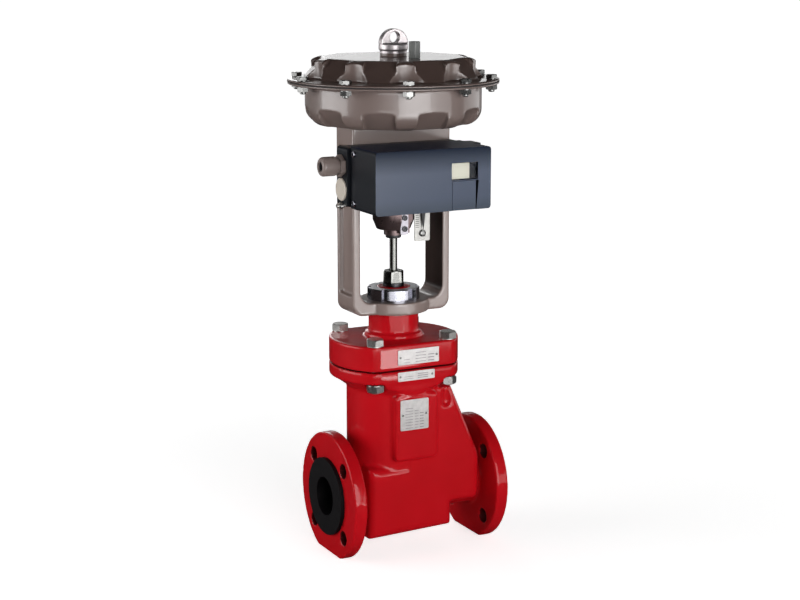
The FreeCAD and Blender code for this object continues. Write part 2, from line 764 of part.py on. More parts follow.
def bonnet_fasteners():
    nut_bottom = "body_flange_bottom - lid_nut_height"
    keep(ring_of("bonnet_screws", "lid_bolt_circle", "4", "lid_bolt_angle", [
        ("Prism", "lid_bolt_head", BONNET_TOP, f"{BONNET_TOP} + lid_bolt_head_height"),
        ("Cylinder", "lid_bolt", f"{nut_bottom} - lid_bolt_end", BONNET_TOP)]))
    nuts = ring_of("bonnet_nut_blanks", "lid_bolt_circle", "4", "lid_bolt_angle", [
        ("Prism", "lid_bolt_head", nut_bottom, "body_flange_bottom")])
    holes = ring_of("bonnet_nut_holes", "lid_bolt_circle", "4", "lid_bolt_angle", [
        ("Cylinder", "lid_bolt", f"{nut_bottom} - 5", "body_flange_bottom + 5")])
    keep(cut("bonnet_nuts", nuts, holes))


def packing():
    """What seals and guides the stem in the bonnet, from the bottom up."""
    bore = "stem_diameter / 2 + stem_slack"
    keep(turned("guide_bush", rectangle(bore, "guide_outer / 2", f"{PACKING_FLOOR} - guide_length", PACKING_FLOOR)))
    rings = []
    pitch = "(packing_ring_height + packing_ring_gap)"
    for number in range(int(size("packing_ring_count"))):
        bottom = f"{PACKING_FLOOR} + {number} * {pitch}"
        rings.append(turned(f"packing_ring_{number}", [
            (bore, bottom), ("packing_bore / 2", bottom), ("packing_bore / 2", f"{bottom} + packing_ring_height"),
            ("(packing_bore + stem_diameter) / 4", f"{bottom} + packing_ring_height - 1.5"),
            (bore, f"{bottom} + packing_ring_height")]))
    keep(group("packing_rings", rings))
    follower_bottom = f"{PACKING_FLOOR} + packing_ring_count * {pitch}"
    keep(turned("gland_follower", [
        (bore, follower_bottom), ("packing_bore / 2 - 0.1", follower_bottom),
        ("packing_bore / 2 - 0.1", f"{SPIGOT_TOP}"), (bore, f"{SPIGOT_TOP}")]))
    nut = hexagon("gland_nut_hexagon", "gland_nut_width", "gland_nut_height", z=SPIGOT_TOP)
    crown = cone("gland_nut_crown", "gland_nut_width + 24", "gland_nut_width - 1", "gland_nut_height", z=SPIGOT_TOP)
    skirt = cylinder("gland_nut_skirt", "gland_skirt", "gland_skirt_height", z=SPIGOT_TOP)
    hole = cylinder("gland_nut_hole", "stem_diameter + 2 * stem_slack", "gland_nut_height + 10", z=f"{SPIGOT_TOP} - 5")
    keep(cut("gland_nut", joined("gland_nut_blank", common("gland_nut_top", nut, crown), skirt), hole))


def ring_nut():
    nut = turned("ring_nut_blank", [
        ("spigot_diameter / 2", YOKE_FLOOR), ("ring_nut_diameter / 2", YOKE_FLOOR),
        ("ring_nut_diameter / 2", f"{YOKE_FLOOR} + ring_nut_height", "1.5"),
        ("spigot_diameter / 2", f"{YOKE_FLOOR} + ring_nut_height")])
    tools = []
    for number in range(int(size("ring_nut_slots"))):
        slot = box(f"ring_nut_slot_{number}",
                   ("ring_nut_diameter / 2 - ring_nut_slot_depth", "-ring_nut_slot_width / 2", f"{YOKE_FLOOR} - 5"),
                   ("ring_nut_diameter", "ring_nut_slot_width / 2", f"{YOKE_FLOOR} + ring_nut_height + 5"))
        turn = f"ring_nut_turn + {number} * 360 / ring_nut_slots"
        inner = "(ring_nut_diameter / 2 - ring_nut_slot_depth)"
        slot.Placement = Placement(Vector(), Rotation(Vector(0, 0, 1), 1))
        slot.setExpression("Placement.Rotation.Angle", bound(turn))
        slot.setExpression("Placement.Base.x", bound(f"{inner} * cos({turn}) + ring_nut_slot_width / 2 * sin({turn})"))
        slot.setExpression("Placement.Base.y", bound(f"{inner} * sin({turn}) - ring_nut_slot_width / 2 * cos({turn})"))
        tools.append(slot)
    return keep(cut("ring_nut", nut, *tools))


def yoke():
    side = "yoke_width / 2"
    window = "yoke_width / 2 - column_thickness"
    frame = slab("yoke_frame", "XZ_Plane", [
        (f"-({side})", YOKE_SEAT, "yoke_corner"), (side, YOKE_SEAT, "yoke_corner"), (side, "yoke_top"),
        (f"-({side})", "yoke_top")], "yoke_depth", "-yoke_depth / 2")
    opening = slab("yoke_window", "XZ_Plane",
                   rectangle(f"-({window})", window, YOKE_FLOOR, "yoke_top - yoke_crossbar", "yoke_window_corner"),
                   "yoke_depth + 20", "-yoke_depth / 2 - 10")
    collar = cylinder("yoke_collar", "collar_diameter", "yoke_base", z=YOKE_SEAT)
    base_hole = cylinder("yoke_base_hole", "spigot_diameter", "yoke_base + 10", z=f"{YOKE_SEAT} - 5")
    top_hole = cylinder("yoke_top_hole", "hub_diameter", "yoke_crossbar + 10", z="yoke_top - yoke_crossbar - 5")
    pocket = slab("yoke_side_pocket", "YZ_Plane",
                  rectangle("-yoke_depth / 2 + 7", "yoke_depth / 2 - 7", f"{YOKE_SEAT} + 25", "yoke_top - 25", "4"),
                  "rib_pocket + 10", "-yoke_width / 2 - 10")
    return keep(cut("yoke", joined("yoke_blank", frame, collar), opening, base_hole, top_hole, pocket))


def facet_cutters(name, level, upwards):
    """Ten sloping blocks that dress the rounded corner of a case between its screws."""
    body = new_body(name)
    block = body.newObject("PartDesign::AdditiveBox", name + "_block")
    block.AttachmentSupport = [(origin_of(body, "XY_Plane"), "")]
    block.MapMode = "FlatFace"
    slope = 1 if upwards else -1
    middle = "(case_diameter / 2 - case_corner + (case_corner - facet_depth) * cos(45))"
    height = f"(case_corner - facet_depth) * sin(45) * {slope}"
    block.setExpression("Width", bound("facet_width"))
    block.setExpression("Length", bound("facet_length"))
    block.setExpression("Height", "30")
    reach = "facet_length / 2 * cos(45)"
    block.AttachmentOffset = Placement(Vector(), Rotation(Vector(0, 1, 0), 45 if upwards else 135))
    block.setExpression("AttachmentOffset.Base.x", bound(f"{middle} - {reach} * {slope}"))
    block.setExpression("AttachmentOffset.Base.y", bound("-facet_width / 2"))
    block.setExpression("AttachmentOffset.Base.z", bound(f"{level} + {height} + {reach}"))
    doc.recompute()
    pattern = body.newObject("PartDesign::PolarPattern", name + "_ring")
    pattern.Originals = [block]
    pattern.Axis = (origin_of(body, "Z_Axis"), [""])
    pattern.Angle = 360
    pattern.setExpression("Occurrences", bound("case_screw_count"))
    body.Tip = pattern
    body.Placement = Placement(Vector(), Rotation(Vector(0, 0, 1), 1))
    body.setExpression("Placement.Rotation.Angle", bound("180 / case_screw_count"))
    return body


def scoop_cutters():
    """Hollows in the upper wall that leave room for a spanner over each screw head."""
    scoops = []
    for number in range(int(size("case_screw_count"))):
        turn = f"{number} * 360 / case_screw_count"
        scoops.append(cone(f"scoop_{number}", "scoop_width", "scoop_top_width", f"case_top - ({RIM_TOP}) + 5",
                           f"({CASE_SCREW_CIRCLE}) / 2 * cos({turn})", f"({CASE_SCREW_CIRCLE}) / 2 * sin({turn})",
                           RIM_TOP))
    return joined("scoops", *scoops)


def case_drills(name):
    return ring_of(name, CASE_SCREW_CIRCLE, "case_screw_count", "0",
                   [("Cylinder", "case_screw_hole", f"{RIM_BOTTOM} - 20", f"{RIM_TOP} + 20")])


def lower_case():
    shell = turned("lower_case_blank", [
        ("actuator_bush / 2", "yoke_top - hub_height"), ("hub_diameter / 2", "yoke_top - hub_height"),
        ("hub_diameter / 2", "yoke_top"), ("case_diameter / 2", "yoke_top", "case_corner"),
        ("case_diameter / 2", RIM_BOTTOM, "3"), (RIM_SIDE, RIM_BOTTOM), (RIM_SIDE, "rim_level"),
        (CAVITY_SIDE, "rim_level"), (CAVITY_SIDE, CAVITY_FLOOR, "cavity_corner"),
        ("actuator_bush / 2", CAVITY_FLOOR)])
    cutters = facet_cutters("lower_facets", "yoke_top + case_corner", False)
    return keep(cut("lower_case", shell, cutters, case_drills("lower_case_drills")))


def upper_case():
    shell = turned("upper_case_blank", [
        ("eye_stud / 2", CAVITY_TOP), (CAVITY_SIDE, CAVITY_TOP, "cavity_corner"),
        (CAVITY_SIDE, UPPER_RIM), (RIM_SIDE, UPPER_RIM), (RIM_SIDE, RIM_TOP),
        ("case_diameter / 2", RIM_TOP, "3"), ("case_diameter / 2", "case_top", "case_corner"),
        ("eye_stud / 2", "case_top")])
    cutters = facet_cutters("upper_facets", "case_top - case_corner", True)
    scoops = scoop_cutters()
    vent_hole = cylinder("vent_hole", "vent_thread", "case_wall + 10", "vent_side", "vent_back", "case_top - case_wall - 5")
    return keep(cut("upper_case", shell, cutters, case_drills("upper_case_drills"), scoops, vent_hole))


def diaphragm():
    skin = "diaphragm_thickness"
    inner = PLATE_SIDE
    web = turned("diaphragm_web", [
        ("actuator_stem / 2", f"plate_level - {skin}"), (f"{inner} + 2.5", f"plate_level - {skin}"),
        (f"{CAVITY_SIDE} - 2.5", "rim_level"), (RIM_SIDE, "rim_level"),
        (RIM_SIDE, UPPER_RIM), (f"{CAVITY_SIDE} - 3.6", UPPER_RIM), (f"{inner} + 1.5", "plate_level"),
        ("actuator_stem / 2", "plate_level")])
    return keep(cut("diaphragm", web, case_drills("diaphragm_drills")))


def diaphragm_plate():
    keep(turned("diaphragm_plate", [
        ("actuator_stem / 2", "plate_level"), (PLATE_SIDE, "plate_level"),
        (PLATE_SIDE, "plate_level + plate_rim_height"), (f"{PLATE_SIDE} - plate_rim_thickness", "plate_level + plate_rim_height"),
        (f"{PLATE_SIDE} - plate_rim_thickness", PLATE_TOP), ("actuator_stem / 2", PLATE_TOP)]))
    keep(turned("plate_washer", rectangle("actuator_stem / 2", "actuator_stem / 2 + 14",
                                          "plate_level - diaphragm_thickness - 3",
                                          "plate_level - diaphragm_thickness")))
    nut = hexagon("plate_nut_blank", "plate_nut_width", "plate_nut_height", z=PLATE_TOP)
    hole = cylinder("plate_nut_hole", "actuator_stem", "plate_nut_height + 10", z=f"{PLATE_TOP} - 5")
    keep(cut("plate_nut", nut, hole))


def actuator_stem():
    top = f"{PLATE_TOP} + plate_nut_height + 3"
    keep(turned("actuator_stem", [
        ("0", "stem_top"), ("actuator_stem / 2", "stem_top"), ("actuator_stem / 2", f"{top} - 1"),
        ("actuator_stem / 2 - 1", top), ("0", top)]))
    bore = "actuator_stem / 2 + stem_slack"
    low = "yoke_top - hub_height"
    keep(turned("actuator_bush", rectangle(bore, "actuator_bush / 2", f"{low} + seal_height", CAVITY_FLOOR)))
    keep(turned("actuator_seal", rectangle(bore, "actuator_bush / 2", low, f"{low} + seal_height")))


def springs():
    """Coil springs that push the plate down and so close the valve, each coil as short straight lengths."""
    low = f"{PLATE_TOP} + spring_wire / 2 + spring_slack"
    height = f"{CAVITY_TOP} - ({PLATE_TOP}) - spring_wire - 2 * spring_slack"
    radius = "(spring_diameter - spring_wire) / 2"
    lengths = round(size(f"({height}) / spring_pitch") * SPRING_STEPS)
    coils = []
    for number in range(int(size("spring_count"))):
        turn = f"{number} * 360 / spring_count"
        sections = []
        for step in range(lengths + 1):
            angle = 360 * step / SPRING_STEPS
            section = doc.addObject("Part::RegularPolygon", f"spring_section_{number}_{step}")
            section.Polygon = 6
            section.setExpression("Circumradius", bound("spring_wire / 2"))
            place(section, f"spring_circle / 2 * cos({turn}) + {radius} * cos({angle})",
                  f"spring_circle / 2 * sin({turn}) + {radius} * sin({angle})",
                  f"{low} + ({height}) * {step} / {lengths}")
            upright = Rotation(Vector(0, 0, 1), angle) * Rotation(Vector(1, 0, 0), 90)
            section.Placement = Placement(Vector(), upright)
            sections.append(section)
        coil = doc.addObject("Part::Loft", f"spring_{number}")
        coil.Sections = sections
        coil.Solid = True
        coil.Ruled = True
        coils.append(coil)
    keep(group("springs", coils))


def case_fasteners():
    nut_bottom = f"{RIM_BOTTOM} - case_nut_height"
    keep(ring_of("case_screws", CASE_SCREW_CIRCLE, "case_screw_count", "0", [
        ("Prism", "case_screw_width", RIM_TOP, f"{RIM_TOP} + case_head_height"),
        ("Cylinder", "case_screw", f"{nut_bottom} - case_screw_end", RIM_TOP)]))
    nuts = ring_of("case_nut_blanks", CASE_SCREW_CIRCLE, "case_screw_count", "0", [
        ("Prism", "case_screw_width", nut_bottom, RIM_BOTTOM)])
    holes = ring_of("case_nut_holes", CASE_SCREW_CIRCLE, "case_screw_count", "0", [
        ("Cylinder", "case_screw", f"{nut_bottom} - 5", f"{RIM_BOTTOM} + 5")])
    keep(cut("case_nuts", nuts, holes))


def lifting_eye():
    collar_top = "case_top + eye_collar_height"
    ring_top = f"{collar_top} + eye_ring_height"
    base = turned("eye_base", [
        ("0", "case_top - case_wall + 0.5"), ("eye_stud / 2", "case_top - case_wall + 0.5"),
        ("eye_stud / 2", "case_top"), ("eye_collar / 2", "case_top"), ("eye_collar / 2", collar_top),
        ("eye_ring / 2", collar_top), ("eye_ring / 2", ring_top, "1.5"), ("0", ring_top)])
    disc = cylinder("eye_disc", "eye_ring", "eye_thickness", "0", "-eye_thickness / 2", ring_top, "back")
    over = box("eye_over", ("-eye_ring", "-eye_ring", ring_top), ("eye_ring", "eye_ring", f"{ring_top} + eye_ring"))
    hole = cylinder("eye_hole_drill", "eye_hole", "eye_thickness + 40", "0", "-eye_thickness / 2 - 20",
                    f"{ring_top} + eye_hole_lift", "back")
    keep(cut("lifting_eye", joined("eye_blank", base, common("eye_arch", disc, over)), hole))
    keep(turned("vent_plug", [
        ("0", "-case_wall + 0.5"), ("vent_thread / 2", "-case_wall + 0.5"), ("vent_thread / 2", "0"),
        ("vent_diameter / 2", "0"), ("vent_diameter / 2", "vent_height", "2"), ("0", "vent_height")],
        "vent_side", "vent_back", "case_top"))


def coupling():
    waist_bottom = "lock_nut_bottom + lock_nut_height"
    bell_bottom = f"{waist_bottom} + coupling_waist_height"
    bell_wide = f"{bell_bottom} + coupling_flare"
    bell_top = f"{bell_wide} + coupling_bell_height"
    keep(turned("lock_nut", [
        ("stem_diameter / 2", "lock_nut_bottom"), ("lock_nut / 2 - 1", "lock_nut_bottom"),
        ("lock_nut / 2", "lock_nut_bottom + 1"), ("lock_nut / 2", waist_bottom), ("stem_diameter / 2", waist_bottom)]))
    bell = turned("coupling_bell_turned", [
        ("0", waist_bottom), ("coupling_waist / 2", waist_bottom), ("coupling_waist / 2", bell_bottom),
        ("coupling_shoulder / 2", bell_bottom, "2"), ("coupling_bell / 2", bell_wide),
        ("coupling_bell / 2", bell_top, "3"), ("coupling_neck / 2", f"{bell_top} + 1"),
        ("coupling_neck / 2", "coupling_top"), ("0", "coupling_top")])
    lug = box("coupling_lug", ("lug_left", "lug_front", "lug_bottom"), ("lug_right", "4", "lug_top"))
    stem_hole = cylinder("coupling_stem_hole", "stem_diameter", "stem_top - lock_nut_bottom", z="lock_nut_bottom")
    rod_hole = cylinder("coupling_rod_hole", "actuator_stem", "100", z="stem_top")
    strip_flat = box("strip_flat", ("strip_left - 0.5", "-coupling_bell", "lug_bottom - 10"),
                     ("coupling_bell", "lug_front", "coupling_top"))
    keep(cut("stem_coupling", joined("coupling_blank", bell, lug), stem_hole, rod_hole, strip_flat))


def pick_up():
    """The strip on the coupling, whose slot carries the pin of the feedback lever."""
    pin_side = "(lever_pivot_side - lever_length)"
    pin_level = "(lever_pivot_level - travel / 2)"
    front = "-lug_front"
    strip_right = "strip_left + strip_width"
    low, high = f"{pin_level} - carrier_height / 2", f"{pin_level} + carrier_height / 2"
    plate = slab("pick_up_blank", "XZ_Plane", [
        ("strip_left", "strip_bottom", "2"), (strip_right, "strip_bottom", "2"), (strip_right, high, "2"),
        ("carrier_left", high, "2"), ("carrier_left", low, "2"), ("strip_left", low)], "strip_thickness", front)
    half = "roller_diameter / 2 + slot_slack"
    slot = slab("pick_up_slot", "XZ_Plane", rectangle(
        f"{pin_side} - slot_length / 2", f"{pin_side} + slot_length / 2", f"{pin_level} - ({half})",
        f"{pin_level} + {half}"), "strip_thickness + 10", f"{front} - 5")
    keep(cut("pick_up_strip", plate, slot))
    middle = "strip_left + strip_width / 2"
    heads = []
    for number, level in enumerate(("lug_bottom + 6", "lug_top - 6")):
        heads.append(cylinder(f"strip_screw_{number}", "strip_screw_head", "strip_screw_head_height", middle,
                              "lug_front - strip_thickness - strip_screw_head_height", level, "back"))
    keep(group("strip_screws", heads))
    pointer = slab("travel_pointer", "XZ_Plane", [
        (f"{strip_right} + 3", "lug_top + 5"), ("scale_left + 11 - pointer_width / 2", "lug_top + 5"),
        ("scale_left + 11", "lug_top + 5 - pointer_length"), ("scale_left + 11 + pointer_width / 2", "lug_top + 5"),
        ("scale_left + 11 + pointer_width / 2", "lug_top + 11"), (strip_right, "lug_top + 11"),
        (strip_right, "lug_top + 5")], "strip_thickness", front)
    keep(pointer)


def travel_scale():
    """An angled plate on the right column, beside the pointer."""
    column = "yoke_width / 2 - column_thickness"
    front = "-lug_front - scale_thickness - 2"
    face = slab("scale_face", "XZ_Plane", rectangle("scale_left", "scale_right", "scale_bottom", "scale_top", "2"),
                "scale_thickness", front)
    arm = box("scale_arm", ("scale_right - 4", f"-({front}) - scale_thickness", "scale_top - 12"),
              (column, f"-({front})", "scale_top"))
    keep(joined("travel_scale", face, arm))
    keep(cylinder("scale_screw", "scale_screw_head", "3", "scale_left + 11", f"-({front}) - scale_thickness - 3",
                  "scale_bottom + 10", "back"))


def positioner():
    low, high = "housing_bottom", "housing_bottom + housing_height"
    parting = "housing_back - base_depth"
    base_left, base_right = "housing_left - base_overhang", "housing_right + base_overhang"
    base = slab("base_block", "XZ_Plane", rectangle(base_left, base_right, f"{low} + 2", f"{high} - 2",
                                                    "housing_corner"), "base_depth", "-housing_back")
    shaft_hole = cylinder("shaft_hole", "shaft_diameter + 2 * shaft_slack", "20", "lever_pivot_side", "housing_back - 15",
                          "lever_pivot_level", "back")
    gland_hole = cylinder("gland_hole", "gland_thread", "20", f"{base_left} - 5", "entry_depth", "gland_level", "right")
    plug_hole = cylinder("plug_hole", "gland_thread", "20", f"{base_left} - 5", "entry_depth", "plug_level", "right")
    earth_hole = cylinder("earth_hole", "earth_screw", "20", f"{base_left} - 5", "entry_depth", "earth_level", "right")
    keep(cut("positioner_base", base, shaft_hole, gland_hole, plug_hole, earth_hole))
    block = slab("cover_block", "XZ_Plane", rectangle("housing_left", "housing_right", low, high, "housing_corner"),
                 f"{parting} - cover_front", f"-({parting})")
    inside = box("cover_inside", ("housing_left + cover_wall", "cover_front + front_wall", f"{low} + cover_wall"),
                 ("housing_right - cover_wall", f"{parting} + 5", f"{high} - cover_wall"))
    recess = box("window_recess", ("window_left", "cover_front - 5", "window_bottom"),
                 ("window_left + window_width", "cover_front + window_depth", "window_bottom + window_height"))
    recess_right = "flap_left + flap_width + flap_gap"
    flap_recess = slab("flap_recess", "XZ_Plane", [
        ("flap_left - flap_gap", f"{low} - 5"), (recess_right, f"{low} - 5"),
        (f"{recess_right} + flap_wedge", f"{low} + flap_height + flap_gap"),
        ("flap_left - flap_gap", f"{low} + flap_height + flap_gap")],
        "flap_thickness + key_proud + 6", "-(cover_front + flap_thickness + key_proud + 1)")
    grooves = [box(f"cover_groove_{number}", (near, f"{parting} - groove_width", f"{low} - 5"),
                   (far, f"{parting} + 5", f"{high} + 5"))
               for number, (near, far) in enumerate((("housing_left - 5", "housing_left + groove_depth"),
                                                     ("housing_right - groove_depth", "housing_right + 5")))]
    pin_hole = cylinder("flap_pin_hole", "flap_pin", "flap_width + 12", "flap_left - 6", "cover_front + 3", f"{low} + 3",
                        "right")
    keys = [cylinder(f"key_hole_{number}", "key_diameter + 0.4", "40", f"{side}", "cover_front", "key_level", "back")
            for number, side in enumerate(KEY_SIDES)]
    keep(cut("positioner_cover", block, inside, recess, flap_recess, pin_hole, *grooves, *keys))
    keep(box("display_window", ("window_left", "cover_front + 2", "window_bottom"),
             ("window_left + window_width", "cover_front + 2 + pane_thickness", "window_bottom + window_height")))
    keep(box("lcd_display", ("window_left + 1", "cover_front + window_depth - display_thickness", "window_bottom + 1"),
             ("window_left + 1 + display_width", "cover_front + window_depth", "window_bottom + window_height - 1")))
    heads = []
    for side, along in (("housing_left - cover_screw_height", "right"), ("housing_right", "right")):
        for level in (f"{low} + 8", f"{high} - 8"):
            heads.append(cylinder(f"cover_screw_{len(heads)}", "cover_screw_head", "cover_screw_height", side,
                                  f"{parting} - cover_screw_setback", level, along))
    keep(group("cover_screws", heads))


KEY_SIDES = [f"flap_left + flap_width / 2 + {step} * key_spacing" for step in (-1, 0, 1)]


def flap_and_keys():
    low = "housing_bottom"
    leaf = box("flap_leaf", ("flap_left", "cover_front", f"{low} + 0.2"),
               ("flap_left + flap_width", "cover_front + flap_thickness", f"{low} + flap_height"))
    barrel = cylinder("flap_barrel", "flap_pin + 3", "flap_width", "flap_left", "cover_front + 3", f"{low} + 3", "right")
    hole = cylinder("flap_bore", "flap_pin + 0.1", "flap_width + 10", "flap_left - 5", "cover_front + 3", f"{low} + 3",
                    "right")
    keep(cut("key_flap", joined("flap_blank", leaf, barrel), hole))
    keep(cylinder("flap_pin", "flap_pin", "flap_width + 12", "flap_left - 6", "cover_front + 3", f"{low} + 3", "right"))
    face = "cover_front + flap_thickness + 0.6"
    for name, side in zip(("left_key", "middle_key", "right_key"), KEY_SIDES):
        keep(cylinder(name, "key_diameter", "key_length", side, face, "key_level", "back"))


def feedback_lever():
    """The arm that reads the stem: its pin rides in the slot of the pick-up strip."""
    drop = "asin(travel / 2 / lever_length)"
    thick = "lever_thickness"
    hub = cylinder("lever_hub", "lever_hub", thick, "lever_pivot_side", f"lever_plane - {thick} / 2",
                   "lever_pivot_level", "back")
    arm = slab("lever_arm_bar", "XZ_Plane", rectangle("-lever_length", "0", "-lever_width / 2", "lever_width / 2"),
               thick, f"-{thick} / 2")
    arm.Placement = Placement(Vector(), Rotation(Vector(0, -1, 0), 8))
    place_terms = ("lever_pivot_side", "lever_plane", "lever_pivot_level")
    for axis, expression in zip("xyz", place_terms):
        arm.setExpression(f"Placement.Base.{axis}", bound(expression))
    arm.setExpression("Placement.Rotation.Angle", bound(drop))
    pin_x = f"lever_pivot_side - lever_length * cos({drop})"
    pin_z = "lever_pivot_level - travel / 2"
    tip = cylinder("lever_tip", "lever_width", thick, pin_x, f"lever_plane - {thick} / 2", pin_z, "back")
    keep(joined("lever_arm", hub, arm, tip))
    keep(cylinder("lever_shaft", "shaft_diameter", f"lever_plane - {thick} / 2 - housing_back + 14", "lever_pivot_side",
                  "housing_back - 14", "lever_pivot_level", "back"))
    keep(cylinder("lever_pin", "roller_diameter", "lug_front - lever_plane + 1", pin_x, f"lever_plane + {thick} / 2",
                  pin_z, "back"))


def bracket():
    """The frame that carries the positioner on the front of the two columns."""
    side = "yoke_width / 2"
    high = "housing_bottom + housing_height - 4"
    plate = slab("bracket_plate", "XZ_Plane", rectangle(f"-({side})", side, "housing_bottom + 4", high, "4"),
                 "-housing_back - yoke_depth / 2", "yoke_depth / 2")
    window = slab("bracket_window", "XZ_Plane", rectangle(
        "-yoke_width / 2 + 22", "lever_pivot_side + lever_hub / 2 + 1", "housing_bottom - 10",
        "housing_bottom + housing_height - 12", "3"), "40", "yoke_depth / 2 - 15")
    keep(cut("positioner_bracket", plate, window))


def cable_entries():
    face = "housing_left - base_overhang"
    flange_end = f"{face} - gland_hex_length"
    neck_end = f"{flange_end} - gland_neck_length"
    thread = cylinder("gland_thread_part", "gland_thread", "12", face, "entry_depth", "gland_level", "right")
    hexed = hexagon("gland_hexagon", "gland_hex", "gland_hex_length", flange_end, "entry_depth", "gland_level", "right")
    neck = cylinder("gland_neck_part", "gland_neck", "gland_neck_length + 4", f"{neck_end} - 4", "entry_depth",
                    "gland_level", "right")
    way = cylinder("gland_way", "cable_bore + 3", "100", f"{face} - 60", "entry_depth", "gland_level", "right")
    keep(cut("cable_gland", joined("gland_blank", thread, hexed, neck), way))
    cap = turned("gland_cap", [
        ("gland_neck / 2", "0"), ("gland_cap / 2", "0"), ("gland_cap / 2", "gland_cap_length", "4"),
        ("cable_bore / 2 + 1.5", "gland_cap_length"), ("cable_bore / 2 + 1.5", "4"), ("gland_neck / 2", "4")],
        neck_end, "entry_depth", "gland_level", "left")
    keep(cap)
    keep(turned("gland_seal", rectangle("cable_bore / 2", "cable_bore / 2 + 1.5", "4.5", "gland_cap_length - 2"),
                neck_end, "entry_depth", "gland_level", "left"))
    keep(turned("blind_plug", [
        ("0", "-10"), ("gland_thread / 2", "-10"), ("gland_thread / 2", "0"), ("blind_plug / 2", "0"),
        ("blind_plug / 2", "blind_plug_length", "1.5"), ("0", "blind_plug_length")],
        face, "entry_depth", "plug_level", "left"))
    keep(turned("earth_screw", [
        ("0", "-8"), ("earth_screw / 2", "-8"), ("earth_screw / 2", "0"), ("earth_head / 2", "0"),
        ("earth_head / 2", "3"), ("earth_screw / 2", "3"), ("earth_screw / 2", "7"), ("0", "7")],
        face, "entry_depth", "earth_level", "left"))


def air_block():
    """The pneumatic connection block on the right end of the positioner's base."""
    left = "housing_right + base_overhang"
    right = f"{left} + block_width"
    front = "housing_back - base_depth + 1.5"
    low = "housing_bottom + housing_height / 2 - block_height / 2"
    block = box("air_block_blank", (left, front, low), (right, f"{front} + block_depth", f"{low} + block_height"))
    drills = [cylinder(f"air_port_{number}", "air_port", "air_port_depth + 5", f"{right} - air_port_depth",
                       f"{front} + block_depth / 2", f"{low} + block_height / 2 + {side} * air_port_spacing / 2",
                       "right")
              for number, side in enumerate((-1, 1))]
    keep(cut("air_block", block, *drills))


def plates():
    lid_front = "lid_depth / 2"
    keep(slab("body_plate", "XZ_Plane", rectangle("name_plate_left", "name_plate_left + name_plate",
                                                  "name_plate_bottom", "name_plate_bottom + name_plate", "2"),
              "plate_sheet", "plate_boss_front"))
    upper = f"{BONNET_FACE} + bonnet_thickness / 2 - upper_tag_height / 2"
    lower = "body_flange_bottom + body_flange_thickness / 2 - lower_tag_height / 2"
    tags = [slab("upper_tag", "XZ_Plane", rectangle("tag_left", "tag_left + upper_tag_width", upper,
                                                 f"{upper} + upper_tag_height", "1.5"), "plate_sheet", lid_front),
            slab("lower_tag", "XZ_Plane", rectangle("tag_left", "tag_left + lower_tag_width", lower,
                                                 f"{lower} + lower_tag_height", "1.5"), "plate_sheet", lid_front)]
    keep(group("flange_tags", tags))
    rivets = []
    rows = (("name_plate_left", "name_plate", "name_plate_bottom + name_plate / 2", "plate_boss_front"),
            ("tag_left", "upper_tag_width", f"{upper} + upper_tag_height / 2", lid_front),
            ("tag_left", "lower_tag_width", f"{lower} + lower_tag_height / 2", lid_front))
    for left, width, level, front in rows:
        for side in (f"{left} + rivet_inset", f"{left} + {width} - rivet_inset"):
            rivets.append(cylinder(f"rivet_{len(rivets)}", "rivet_diameter", "rivet_height", side,
                                   f"-({front}) - plate_sheet - rivet_height", level, "back"))
    keep(group("plate_rivets", rivets))


for make in (valve_body, body_liner, seat_and_plug, bellows, bellows_collar, valve_stem, bonnet, bonnet_fasteners,
             packing, ring_nut, yoke, lower_case, upper_case, diaphragm, diaphragm_plate, actuator_stem, springs,
             case_fasteners, lifting_eye, coupling, pick_up, travel_scale, positioner, flap_and_keys,
             feedback_lever, bracket, cable_entries, air_block, plates):
    make()
doc.recompute()

failed = [piece.Name for piece in doc.Objects if {"Invalid", "Error"} & set(piece.State)]
if failed:
    raise SystemExit(f"not built: {failed}")
os.makedirs("parts", exist_ok=True)
for piece in nodes:
    if piece.Shape.isNull() or not piece.Shape.isValid() or not piece.Shape.Solids:
        raise SystemExit(f"bad shape: {piece.Label}")
    piece.Shape.exportStep(f"parts/{piece.Label}.step")
    print(f"{piece.Label:20} {len(piece.Shape.Solids):3} solids {piece.Shape.Volume / 1000:9.2f} cm3")
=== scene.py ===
# %% [markdown]
# # A bellows sealed control valve
# The valve has a red lined globe body, a taupe yoke with a scalloped diaphragm case on top, and a
# dark blue positioner on the yoke's front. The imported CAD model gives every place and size. Here each
# part gets its soft edges, its small details and its finish. Everything is in metres in the frame's axes.

# %% The frame
import json
import math

import bmesh
import bpy
from mathutils import Matrix, Vector

